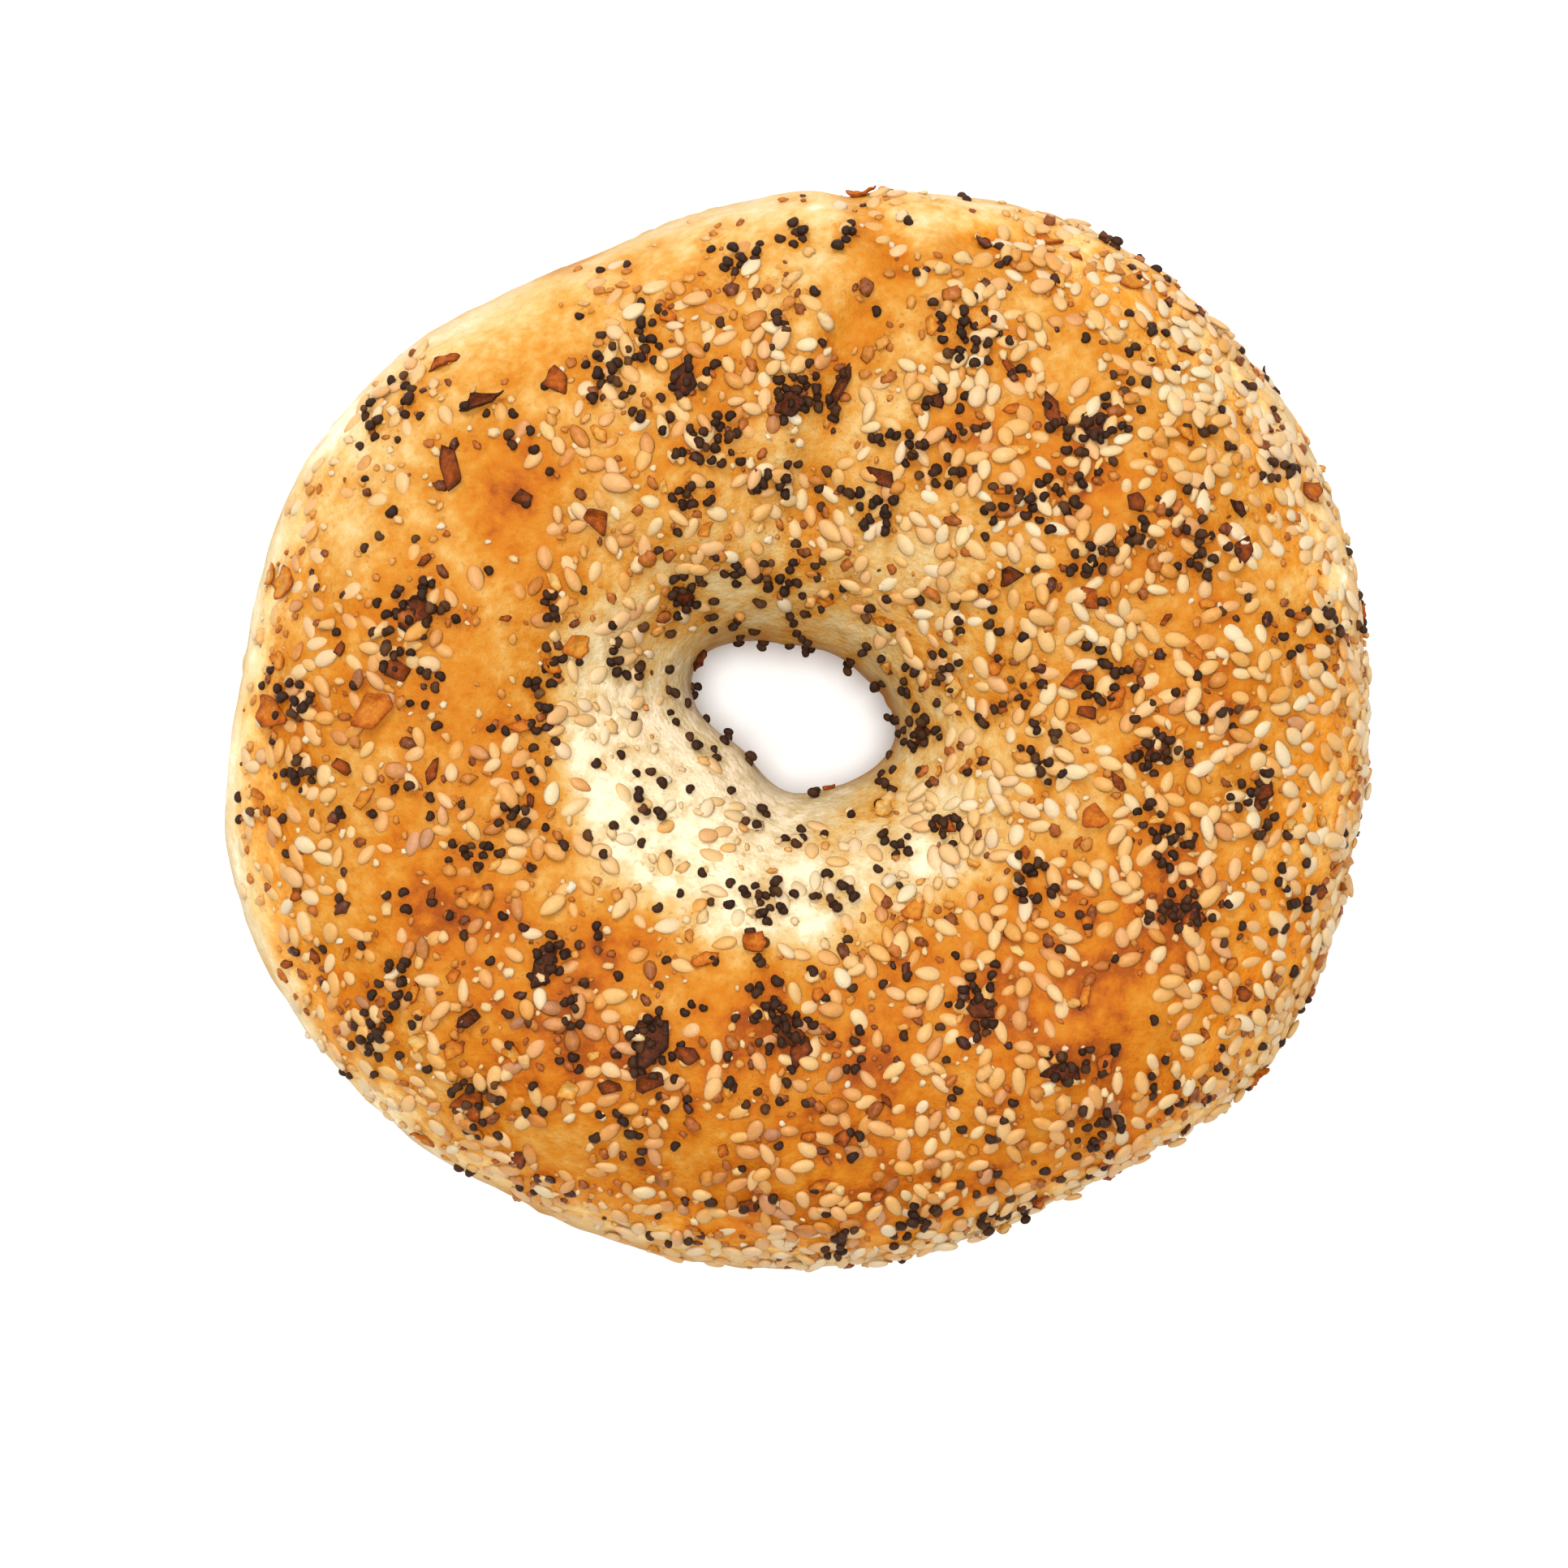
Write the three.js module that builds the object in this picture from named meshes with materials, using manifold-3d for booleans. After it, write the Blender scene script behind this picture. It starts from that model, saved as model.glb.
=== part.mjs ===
// A topped bagel lying flat on its base: a hand-rolled ring of bread with a small off-round hole,
// its crust strewn with sesame seeds and with flakes of dried onion, all baked on as one piece.
// Millimetres, +Z up. The origin is on the table, under the middle of the outline.

import * as THREE from "three";
import { mergeVertices } from "three/addons/utils/BufferGeometryUtils.js";
import Module from "manifold-3d";

const FULL_TURN = 2 * Math.PI;
const radians = (degrees) => (degrees * Math.PI) / 180;

// The ring in plan. A wave is [how many crests round the ring, its height, the direction of a crest
// in degrees, anticlockwise from +X].
const OUTER_RADIUS = 54.7;
const OUTER_WAVES = [
  [1, 0.75, 28],
  [2, 2.3, 17],
  [3, 1.0, 55],
  [4, 0.6, -37],
  [6, 0.5, 25],
];
const HOLE_RADIUS = 8.2;
const HOLE_CENTRE = { x: -0.2, y: 2.0 };
const HOLE_WAVES = [
  [2, 1.7, -25],
  [3, 0.6, 26],
  [4, 0.5, -17],
];

// The ring in section.
const CROWN_HEIGHT = 34.5;
const CROWN_WAVES = [
  [1, 0.7, 215],
  [2, 0.6, 60],
  [3, 0.4, 10],
];
const GIRTH_LEVEL = 15; // where the section is widest
const BELLY_BELOW_TABLE = 4; // how far the round belly would hang if the table didn't flatten it
const BASE_ROLL = 1.5; // the height over which the flat base rolls up into the side
const SECTION_POWER = 2.2; // 2 is an ellipse, and more is fuller at the shoulders
const CROWN_SHIFT = 0.045; // how far the crown leans outwards, as a share of the section's width

// Broad unevenness left by rolling: [crests round the ring, crests round the section, height, phase].
const LUMPS = [
  [3, 2, 0.55, 40],
  [5, -3, 0.4, 110],
  [8, 2, 0.28, 250],
  [11, 4, 0.2, 10],
];
const LUMPS_FADE = 0.35; // the share of the section, from the hole outwards, where they fade in

// Creases where the ends of the dough meet: [from x, y, to x, y, depth, half width].
const CREASES = [
  [0.5, 19, 5.5, 37, 1.5, 2.6],
  [5, 52, 9, 44, 1.2, 2.2],
  [15, 46, 24, 47, 1.0, 1.8],
];

// The mesh of the bread.
const STEPS_ROUND_RING = 80;
const STEPS_ROUND_SECTION = 28;

// What is strewn on the crust.
const SESAME = { count: 145, length: 2.7, width: 1.75, thickness: 1.0, taper: 0.38, gap: 3.9 };
const FLAKE = { count: 22, length: 3.8, width: 2.7, thickness: 1.2, sides: 5, gap: 4.6 };
const SEED_SIDES = 5;
const SEED_RINGS = 3;
const SMALLEST_DETAIL = 0.03; // slivers left by joining that are thinner than this are taken out
const LARGEST_TILT = radians(13); // how far a seed leans out of the crust's plane
const SUNK = 0.12; // how far the middle of a seed stands above the crust, as a share of its length
const TOPPED_FROM = GIRTH_LEVEL - 4; // the topping thins out between these two heights
const TOPPED_FULLY = GIRTH_LEVEL + 9;
const CLEAR_OF_HOLE = 4.5; // the throat of the hole is left bare by this much
const LARGEST_AREA = 1300; // no unit of angle and turn covers much more of the topped crust

// Larger flakes that show singly: [x, y, length].
const LONE_FLAKES = [
  [-33, 24, 4.6],
  [49.5, 22.5, 4.4],
  [-50.5, 1.5, 5.0],
  [10.5, -17.5, 4.0],
  [-21.5, 8.5, 4.4],
  [32.5, 43, 4.2],
  [-49, 14, 4.4],
  [-15, 36, 4.0],
  [-19.5, 19.5, 3.8],
  [36, -21, 4.2],
];

// Smooth patches with hardly any topping: [x, y, radius].
const BARE_PATCHES = [
  [-27, 38, 9],
  [-2, 50, 8],
  [-28, 25, 6],
  [2.5, 27, 4],
  [5, 42, 4.5],
  [28, -27, 4.5],
  [-13, -9, 7],
];

// Numbers from 0 to 1, the same on each run.
function seededRandom(seed) {
  let state = seed;
  return () => {
    state = (state + 0x6d2b79f5) | 0;
    let t = Math.imul(state ^ (state >>> 15), 1 | state);
    t = (t + Math.imul(t ^ (t >>> 7), 61 | t)) ^ t;
    return ((t ^ (t >>> 14)) >>> 0) / 4294967296;
  };
}

const waves = (list, angle) =>
  list.reduce((sum, [crests, height, at]) => sum + height * Math.cos(crests * (angle - radians(at))), 0);

const outerRadius = (angle) => OUTER_RADIUS + waves(OUTER_WAVES, angle);
const holeRadius = (angle) => HOLE_RADIUS + waves(HOLE_WAVES, angle);
const smoothStep = (from, to, x) => THREE.MathUtils.smoothstep(x, from, to);

// Heights under the table are pressed flat onto it, with a short roll where the base begins.
function pressedOnTable(height) {
  if (height <= -BASE_ROLL) return 0;
  if (height >= BASE_ROLL) return height;
  return (height + BASE_ROLL) ** 2 / (4 * BASE_ROLL);
}

function distanceToSegment(x, y, x0, y0, x1, y1) {
  const [dx, dy] = [x1 - x0, y1 - y0];
  const along = ((x - x0) * dx + (y - y0) * dy) / (dx * dx + dy * dy);
  const t = THREE.MathUtils.clamp(along, 0, 1);
  return Math.hypot(x - x0 - t * dx, y - y0 - t * dy);
}

function lumpHeight(angle, turn) {
  return LUMPS.reduce(
    (sum, [round, section, height, phase]) =>
      sum + height * Math.cos(round * angle + section * turn + radians(phase)),
    0,
  );
}

// How far the crust is pulled in by the creases, seen from above.
function creaseDepth(x, y) {
  return CREASES.reduce((sum, [x0, y0, x1, y1, depth, halfWidth]) => {
    const away = distanceToSegment(x, y, x0, y0, x1, y1) / halfWidth;
    return sum + depth * Math.exp(-away * away);
  }, 0);
}

// A point of the crust. angle goes round the ring, and turn goes round its section, from the
// outer girth over the crown to the hole and back under the base.
function crustPoint(angle, turn) {
  const outer = outerRadius(angle);
  const inner = holeRadius(angle);
  const [cosine, sine] = [Math.cos(angle), Math.sin(angle)];
  const innerX = HOLE_CENTRE.x + inner * cosine;
  const innerY = HOLE_CENTRE.y + inner * sine;
  const [spanX, spanY] = [outer * cosine - innerX, outer * sine - innerY];
  const width = Math.hypot(spanX, spanY);

  const rounded = (value) => Math.sign(value) * Math.abs(value) ** (2 / SECTION_POWER);
  const across = (width / 2) * rounded(Math.cos(turn));
  const upwards = rounded(Math.sin(turn));
  const crown = CROWN_HEIGHT + waves(CROWN_WAVES, angle) - GIRTH_LEVEL;
  const up = upwards * (upwards > 0 ? crown : GIRTH_LEVEL + BELLY_BELOW_TABLE);

  const fromMiddle = Math.hypot(across, up);
  const plainShare = 0.5 + across / width;
  const lump = lumpHeight(angle, turn) * smoothStep(0, LUMPS_FADE, plainShare);
  const crease =
    creaseDepth(innerX + plainShare * spanX, innerY + plainShare * spanY) *
    smoothStep(-0.25, 0.25, upwards);
  const grown = 1 + (lump - crease) / fromMiddle;

  const share = 0.5 + (across * grown) / width;
  const leaning = share + CROWN_SHIFT * 4 * share * (1 - share);
  return new THREE.Vector3(
    innerX + leaning * spanX,
    innerY + leaning * spanY,
    pressedOnTable(GIRTH_LEVEL + up * grown),
  );
}

// A vector straight out of the crust, as long as the area that a unit of angle and turn covers there.
function crustOutward(angle, turn) {
  const step = 1e-3;
  const here = crustPoint(angle, turn);
  const roundRing = crustPoint(angle + step, turn).sub(here);
  const roundSection = crustPoint(angle, turn + step).sub(here);
  return roundRing.cross(roundSection).divideScalar(step * step);
}

// The bread itself, as one closed grid.
function breadGeometry() {
  const positions = [];
  const indices = [];
  for (let i = 0; i < STEPS_ROUND_RING; i++) {
    for (let j = 0; j < STEPS_ROUND_SECTION; j++) {
      const point = crustPoint((FULL_TURN * i) / STEPS_ROUND_RING, (FULL_TURN * j) / STEPS_ROUND_SECTION);
      positions.push(point.x, point.y, point.z);
      const [nextI, nextJ] = [(i + 1) % STEPS_ROUND_RING, (j + 1) % STEPS_ROUND_SECTION];
      const corner = (a, b) => a * STEPS_ROUND_SECTION + b;
      indices.push(corner(i, j), corner(nextI, j), corner(nextI, nextJ));
      indices.push(corner(i, j), corner(nextI, nextJ), corner(i, nextJ));
    }
  }
  return new THREE.BufferGeometry()
    .setAttribute("position", new THREE.Float32BufferAttribute(positions, 3))
    .setIndex(indices);
}

// A flat drop with its point towards +X.
function sesameGeometry({ length, width, thickness, taper }) {
  const seed = new THREE.SphereGeometry(1, SEED_SIDES, SEED_RINGS).rotateZ(-Math.PI / 2);
  const position = seed.getAttribute("position");
  for (let i = 0; i < position.count; i++) {
    const narrowing = 1 - taper * position.getX(i);
    position.setY(i, position.getY(i) * narrowing);
    position.setZ(i, position.getZ(i) * narrowing);
  }
  return seed.scale(length / 2, width / 2, thickness / 2);
}

// A flat chip with uneven corners.
function flakeGeometry({ length, width, thickness, sides }, random) {
  const chip = new THREE.CylinderGeometry(0.88, 1, 1, sides).rotateX(Math.PI / 2);
  const position = chip.getAttribute("position");
  const reach = Array.from({ length: sides }, () => 0.72 + 0.5 * random());
  for (let i = 0; i < position.count; i++) {
    const [x, y] = [position.getX(i), position.getY(i)];
    if (Math.hypot(x, y) < 0.1) continue;
    const corner = Math.round(((Math.atan2(y, x) + FULL_TURN) / FULL_TURN) * sides) % sides;
    position.setXY(i, x * reach[corner], y * reach[corner]);
  }
  return chip.scale(length / 2, width / 2, thickness);
}

// Lays a piece on the crust at a spot, turned at random about the crust's normal and leaning a little.
function laidOnCrust(geometry, { angle, turn }, length, random) {
  const normal = crustOutward(angle, turn).normalize();
  const pose = new THREE.Quaternion().setFromUnitVectors(new THREE.Vector3(0, 0, 1), normal);
  const spin = new THREE.Quaternion().setFromAxisAngle(new THREE.Vector3(0, 0, 1), FULL_TURN * random());
  const lean = new THREE.Quaternion().setFromAxisAngle(
    new THREE.Vector3(0, 1, 0),
    LARGEST_TILT * (2 * random() - 1),
  );
  const place = crustPoint(angle, turn).addScaledVector(normal, SUNK * length);
  const matrix = new THREE.Matrix4().compose(
    place,
    pose.multiply(spin).multiply(lean),
    new THREE.Vector3(1, 1, 1),
  );
  return geometry.applyMatrix4(matrix);
}

// The chance, from 0 to 1, that a piece of topping stays at a point of the crust.
function toppingShare(point) {
  const fromHole = Math.hypot(point.x - HOLE_CENTRE.x, point.y - HOLE_CENTRE.y);
  if (fromHole < holeRadius(Math.atan2(point.y - HOLE_CENTRE.y, point.x - HOLE_CENTRE.x)) + CLEAR_OF_HOLE)
    return 0;
  const bare = BARE_PATCHES.reduce(
    (share, [x, y, radius]) => share * smoothStep(0.6, 1.1, Math.hypot(point.x - x, point.y - y) / radius),
    1,
  );
  return bare * smoothStep(TOPPED_FROM, TOPPED_FULLY, point.z);
}

// Spots spread evenly over the topped crust, none closer to another than the gap.
function scatter(count, gap, taken, random) {
  const spots = [];
  for (let tries = 0; spots.length < count && tries < 60000; tries++) {
    const spot = { angle: FULL_TURN * random(), turn: FULL_TURN * random() };
    spot.point = crustPoint(spot.angle, spot.turn);
    const areaShare = crustOutward(spot.angle, spot.turn).length() / LARGEST_AREA;
    if (random() > areaShare * toppingShare(spot.point)) continue;
    if ([...taken, ...spots].some((other) => other.point.distanceTo(spot.point) < gap)) continue;
    spots.push(spot);
  }
  return spots;
}

// The spot on top of the crust that lies at x, y in plan.
function spotAt(x, y) {
  const angle = Math.atan2(y, x);
  let [low, high] = [0, Math.PI];
  for (let i = 0; i < 40; i++) {
    const middle = (low + high) / 2;
    const point = crustPoint(angle, middle);
    if (Math.hypot(point.x, point.y) > Math.hypot(x, y)) low = middle;
    else high = middle;
  }
  return { angle, turn: low, point: crustPoint(angle, low) };
}

const wasm = await Module();
wasm.setup();

function solidOf(geometry) {
  const bare = geometry.clone();
  bare.deleteAttribute("normal");
  bare.deleteAttribute("uv");
  const merged = mergeVertices(bare, 1e-4);
  return new wasm.Manifold(
    new wasm.Mesh({
      numProp: 3,
      vertProperties: merged.getAttribute("position").array,
      triVerts: new Uint32Array(merged.index.array),
    }),
  );
}

function geometryOf(solid) {
  const mesh = solid.getMesh();
  return new THREE.BufferGeometry()
    .setAttribute("position", new THREE.BufferAttribute(mesh.vertProperties, 3))
    .setIndex(new THREE.BufferAttribute(mesh.triVerts, 1));
}

// The topping, the largest pieces first.
function toppingGeometries() {
  const random = seededRandom(20);
  const lone = LONE_FLAKES.map(([x, y, length]) => ({ ...spotAt(x, y), length }));
  const flakes = scatter(FLAKE.count, FLAKE.gap, lone, random);
  const seeds = scatter(SESAME.count, SESAME.gap, [...lone, ...flakes], random);
  const uneven = () => 0.86 + 0.28 * random();
  const flake = (spot, length) =>
    laidOnCrust(flakeGeometry({ ...FLAKE, length }, random), spot, FLAKE.thickness, random);
  return [
    ...lone.map((spot) => flake(spot, spot.length)),
    ...flakes.map((spot) => flake(spot, FLAKE.length * uneven())),
    ...seeds.map((spot) => {
      const size = uneven();
      return laidOnCrust(sesameGeometry(SESAME).scale(size, size, size), spot, SESAME.thickness, random);
    }),
  ];
}

// Bread and topping fused into one solid.
function bagelGeometry() {
  const fused = toppingGeometries().reduce(
    (whole, piece) => whole.add(solidOf(piece)),
    solidOf(breadGeometry()),
  );
  return geometryOf(fused.simplify(SMALLEST_DETAIL));
}

const crust = new THREE.MeshStandardMaterial({ color: 0xdc9a4c, roughness: 0.55, metalness: 0 });
const bagel = new THREE.Mesh(bagelGeometry(), crust);
bagel.name = "bagel";

const part = new THREE.Group();
part.add(bagel);

export default part;
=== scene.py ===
"""A topped bagel in soft studio light, seen from straight above.

The bread is one piece over the CAD node bagel, on the same named sizes. Its topping is four more
pieces: poppy seeds, sesame seeds, flakes of dried onion and crumbs of dried garlic. Lengths here
are in millimetres until a mesh or an object is made, which is in metres.
"""

import math

import bmesh
import bpy
import numpy as np
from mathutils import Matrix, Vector, kdtree, noise


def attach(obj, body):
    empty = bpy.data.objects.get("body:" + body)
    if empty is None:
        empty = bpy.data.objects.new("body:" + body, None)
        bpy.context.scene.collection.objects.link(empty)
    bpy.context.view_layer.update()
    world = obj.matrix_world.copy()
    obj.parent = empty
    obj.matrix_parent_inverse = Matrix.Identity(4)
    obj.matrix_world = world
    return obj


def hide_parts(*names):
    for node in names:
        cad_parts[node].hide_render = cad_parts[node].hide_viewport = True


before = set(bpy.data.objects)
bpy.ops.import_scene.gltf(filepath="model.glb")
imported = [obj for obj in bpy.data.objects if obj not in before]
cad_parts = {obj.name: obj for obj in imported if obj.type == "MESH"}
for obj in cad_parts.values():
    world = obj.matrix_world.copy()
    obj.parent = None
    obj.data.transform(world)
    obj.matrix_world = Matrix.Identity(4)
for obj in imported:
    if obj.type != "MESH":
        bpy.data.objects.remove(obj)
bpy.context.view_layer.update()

MM = 0.001
FULL_TURN = 2 * math.pi

# The ring in plan. A wave is (crests round the ring, height, direction of a crest in degrees).
OUTER_RADIUS = 54.7
OUTER_WAVES = [(1, 0.75, 28), (2, 2.3, 17), (3, 1.0, 55), (4, 0.6, -37), (6, 0.5, 25)]
HOLE_RADIUS = 8.2
HOLE_X, HOLE_Y = -0.2, 2.0
HOLE_WAVES = [(2, 1.7, -25), (3, 0.6, 26), (4, 0.5, -17)]

# The ring in section.
CROWN_HEIGHT = 34.5
CROWN_WAVES = [(1, 0.7, 215), (2, 0.6, 60), (3, 0.4, 10)]
GIRTH_LEVEL = 15
BELLY_BELOW_TABLE = 4
BASE_ROLL = 1.5
SECTION_POWER = 2.2
CROWN_SHIFT = 0.045

# (crests round the ring, crests round the section, height, phase in degrees)
LUMPS = [(3, 2, 0.55, 40), (5, -3, 0.4, 110), (8, 2, 0.28, 250), (11, 4, 0.2, 10)]
LUMPS_FADE = (0, 0.35)

# (from x, y, to x, y, depth, half width). They fade out at the girth.
CREASES = [(0.5, 19, 5.5, 37, 1.5, 2.6), (5, 52, 9, 44, 1.2, 2.2), (15, 46, 24, 47, 1.0, 1.8)]
CREASES_FADE = (-0.25, 0.25)

STEPS_ROUND_RING = 480
STEPS_ROUND_SECTION = 200
SMALL_STEP = 1e-3
# A place in plan is closed in on in so many rounds of so many halvings.
AIM_ROUNDS, AIM_HALVINGS = 6, 26

# The baked skin: shallow dimples, and here and there a small blister. It is smooth at the base.
DIMPLE_SIZE, DIMPLE_HEIGHT, DIMPLE_FINER, DIMPLE_OCTAVES = 8.0, 0.32, 2.0, 2
RIPPLE_SIZE, RIPPLE_HEIGHT = 2.6, 0.13
BLISTER_SPACING, BLISTER_WIDTH, BLISTER_HEIGHT = 4.6, 0.3, 0.28
BLISTERED_SHARE, BLISTER_SHUFFLE = 0.3, 7.3
SMOOTH_BASE = (0.3, 2.5)
ROUGHEN, FINER = 1.0, 2.1

# How brown the crust is, from 0, pale dough, to 1, dark. A pair is the two heights, or the two
# distances from the middle of the hole, between which a tone comes in.
CROWN_TOAST, CROWN_TOAST_SWING, BROWNEST_CROWN, CROWN_FROM = 0.54, 0.10, 295, (22, 31)
# The rim is toasted lightly, partly as paler dough and partly as painted light. It swings palest on
# the side away from the key lamp, painted lighter there for the light that side lacks.
RIM_TOAST, RIM_PAINTED_LIGHT_SWING, RIM_PAINTED_LIGHT_AT = 0.26, 0.05, 225
LOW_SIDE_TOAST, ABOVE_LOW_SIDE = 0.48, (12, 24)
# Below the crown the rim is painted paler still, partly as pale dough and partly as painted light from
# the bright surround. This is held back on the side that faces the key lamp.
RIM_PALE_AND_LIT, RIM_TOP, RIM_FOOT, RIM_OUTSIDE = 1.42, (33, 27), (18, 26), 28
RIM_FACING_KEY, RIM_FACING, RIM_KEPT = 112, (0.4, 0.95), 0.35
INSIDE_TOAST, INSIDE_REACH = 0.37, (14, 27)
PALE_RING, PALE_RING_AT, PALE_RING_SIDE, PALE_RING_REACH = 0.36, 238, (-0.3, 0.6), (26, 20)
# Low in the hole the crust is darker: partly browner dough, partly painted shade on the hole's wall.
THROAT_TOAST_AND_SHADE, THROAT_LEVEL, THROAT_REACH = 0.26, (22, 11), (20, 14)
BASE_TOAST, BASE_MOTTLE, BASE_LEVEL = 0.62, 0.1, (1.2, 0.1)
# The crust is painted darker along the creases.
CREASE_DARKENING, CREASE_DARKENING_FROM = 0.16, (15, 22)
MOTTLE, MOTTLE_SIZE_OCTAVES = 0.17, (9, 5)
PATCH_FALL, PATCHES_FROM = 1.4, (8, 16)

# Places in plan, as seen in the photograph.
# Where the crust has browned: (x, y, radius, how much).
BROWNED = [
    (-28, 23, 6.5, 0.38), (-26, 16, 6, 0.20), (-15, 45, 6, 0.08), (-32, 2, 7, 0.20), (-41, 3, 5, 0.18),
    (-48, 1, 4.5, 0.20), (-41, 11, 5, 0.14), (-37, -12, 6, 0.15), (-35, -17, 6, 0.20),
    (-27, -17, 5, 0.14), (-18, -20, 5, 0.18), (-8, -30, 6, 0.18), (7, -32, 6, 0.25), (5, -41, 6, 0.13),
    (27, -27, 8, 0.22), (36, -21, 5, 0.22), (8, 43, 6, 0.24), (16, 29, 5, 0.26), (-48, -14, 6, 0.06),
    (-22, 35, 5, 0.10), (51, -22, 6, 0.12), (40, 4, 6, 0.10), (-23, -29, 7, 0.22), (12, -44, 6, 0.08),
    # At the end of this row and the start of the next, (7, -7) and (0, -10) by the hole's lower rim
    # are partly painted shade on the hole's wall.
    (-44, -26, 6, 0.04), (33, 43, 4, 0.14), (26, 26, 11, 0.10), (32, 3, 10, 0.05), (7, -7, 4.5, 0.30),
    (0, -10, 4, 0.10), (9, -20, 5, 0.14), (17, 2, 5, 0.08), (-25, 44, 8, 0.05), (-22, 4, 4, 0.06),
    (-17, 5, 5, 0.13), (-27, -47, 6, 0.16), (-9, -50, 7, 0.12), (8, -53, 6, 0.08), (25, -48, 7, 0.10),
    (41, -36, 6, 0.08),
]
# Where it has stayed pale.
PALE = [
    (-17, -6, 8, 0.12), (-7, -15, 7, 0.10), (-16, -14, 7, 0.14), (12, -13, 6, 0.16), (19, -8, 7, 0.18),
    (-37, 29, 7, 0.18), (48, 32, 8, 0.20), (51, 20, 7, 0.14), (6, 32, 7, 0.19), (3, 25, 7, 0.12),
    (-44, 30, 8, 0.16), (-40, -36, 7, 0.10), (3, 46, 11, 0.14), (-52, 8, 7, 0.10), (-12, 50, 5, 0.06),
    # (12, 2) in this row, by the hole's right rim, is partly painted light against the shade there.
    (12, 2, 4, 0.12), (38, 34, 8, 0.06), (30, 50, 8, 0.14), (24, 6, 8, 0.06), (-53, 14, 6, 0.10),
    (-53, -1, 6, 0.12), (-50, -14, 6, 0.08), (54, 18, 5, 0.08), (-1, 29, 6, 0.10), (-19, 20, 6, 0.12),
    (-34, -32, 6, 0.05), (-12, -22, 4, 0.08), (46, 14, 5, 0.10), (-10, -40, 5, 0.08),
    (-22, -38, 5, 0.08), (-2, 18, 4, 0.10), (14, -6, 4, 0.08), (33, -28, 5, 0.05), (42, -17, 4, 0.08),
    (-16, 43, 5, 0.06), (16, 17, 7, 0.13), (0, 18, 8, 0.08),
]

# Toppings thin out down the sides, higher up on the left than on the right.
TOPPED_FROM, TOPPED_SWING, BAREST_SIDE, TOPPED_FADE = 22.5, 4.5, 165, 6
TOPPED_IN_HOLE, HOLE_SIDE = (11, 19), (32, 24)
TOPPING_LOWEST = 8
CROWD_REACH, FULL_CROWD = 1.7, 2.6
PALE_DOUGH = (0.1, 0.36)
BARE_EDGE = (0.55, 1.15)

# Where poppy seeds lie in a heap: (x, y, spread, how many).
POPPY_HEAPS = [
    (-11, 33, 1.4, 9), (-6, 44, 1.4, 2), (0, 47, 1.2, 3), (4, 47, 1.2, 3), (-15, 37, 2.6, 6),
    (1, 32, 2.2, 14), (-9, 27, 2.4, 10), (-3, 24, 1.8, 7), (10, 27, 2.2, 6), (14, 25, 1.4, 5),
    (8, 21, 2.3, 9), (16, 37, 2.8, 15), (28, 28, 2.6, 14), (20, 21, 2.4, 7), (28, 17, 2.1, 9),
    (32, 18, 1.6, 5), (38, 17, 2.1, 9), (-2, 15, 1.6, 5), (-11, 13, 1.8, 5), (-35, 12, 2.4, 13),
    (-38, 7, 2.0, 7), (-47, 3, 2.2, 8), (-47, -4, 1.8, 5), (-23, -21, 1.8, 11), (-14, -29, 2.4, 16),
    (-1, -28, 2.5, 12), (17, -26, 1.9, 8), (25, -32, 1.6, 6), (36, -17, 2.4, 12), (36, -10, 2.4, 8),
    (34, -2, 1.7, 8), (44, -6, 1.8, 7), (45, -10, 1.5, 5), (48, -16, 1.9, 6), (-38, -24, 2.0, 7),
    (-40, -29, 2.2, 8), (-31, -35, 2.3, 8), (29, -38, 2.0, 4), (11, -46, 2.4, 7), (20, -46, 2.0, 6),
    (4, -48, 1.8, 6), (-30, -11, 2.4, 8), (-23, 12, 1.9, 5), (-24, 3, 2.0, 4), (9, -11, 1.7, 5),
    (14, -9, 1.7, 5), (3, -15, 1.6, 5), (-3, -16, 1.7, 6), (12, 0, 1.3, 2), (51, 10, 1.8, 4),
    (44, 33, 2.6, 5), (45, 25, 2.0, 4), (-41, 30, 2.4, 3), (-6, 11, 2.6, 2), (0, 11, 2.8, 2),
    (6, 10, 2.8, 2), (11, 5, 2.4, 1), (14, 1, 2.2, 1), (9, -6, 2.6, 1), (-11, 2, 2.6, 1),
    (-6, -7, 3.0, 1), (1, -10, 3.0, 1), (-14, -8, 1.3, 3), (-5.8, 9.6, 0.7, 1), (-3.1, 8.4, 0.5, 1),
    (1.1, 8.3, 0.4, 1), (5, 6.9, 0.5, 1), (8, 4.8, 0.5, 1), (9.8, 1, 0.7, 2), (-7, -0.5, 0.5, 1),
    (-5, -2.8, 0.4, 1), (1.6, -6, 0.4, 1), (-9.6, 4.6, 0.5, 1), (-18, 34, 1.9, 8), (24, -3, 2.8, 8),
    (29, 5, 2.3, 6), (25, 23, 3.0, 9), (22, -14, 2.3, 5), (14, 6, 1.9, 4), (18, 2, 1.8, 3),
    (34, -8, 1.9, 4), (-10, 22, 1.9, 4), (-17, 7, 1.8, 4), (-21, -26, 1.8, 4), (-27, -8, 2.2, 4),
    (-2, 38, 1.8, 3),
]
# Where hardly any topping lies: (x, y, radius).
BARE = [
    (-27, 38, 9), (-2, 51, 8), (-28, 22, 7), (3, 28, 4), (6, 42, 5), (31, -27, 5), (-31, 3, 4),
    (-39, -15, 4.5), (-7, -24, 4), (15, 50, 6), (26, 35, 4), (-13, 46, 5), (-42, 19, 4), (-29, 7, 4),
    (46, 14, 4), (-10, -40, 4), (-22, -39, 4),
]
# Where sesame is scarce.
FEW_SESAME = [
    (-14, -7, 9), (-3, -17, 8), (-34, 22, 12), (-30, 5, 7), (0, 14, 6), (9, -9, 7), (6, 41, 9),
    (-36, -15, 6), (8, -30, 6), (-5, -25, 6), (29, -27, 7), (-12, -22, 6),
]

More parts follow.
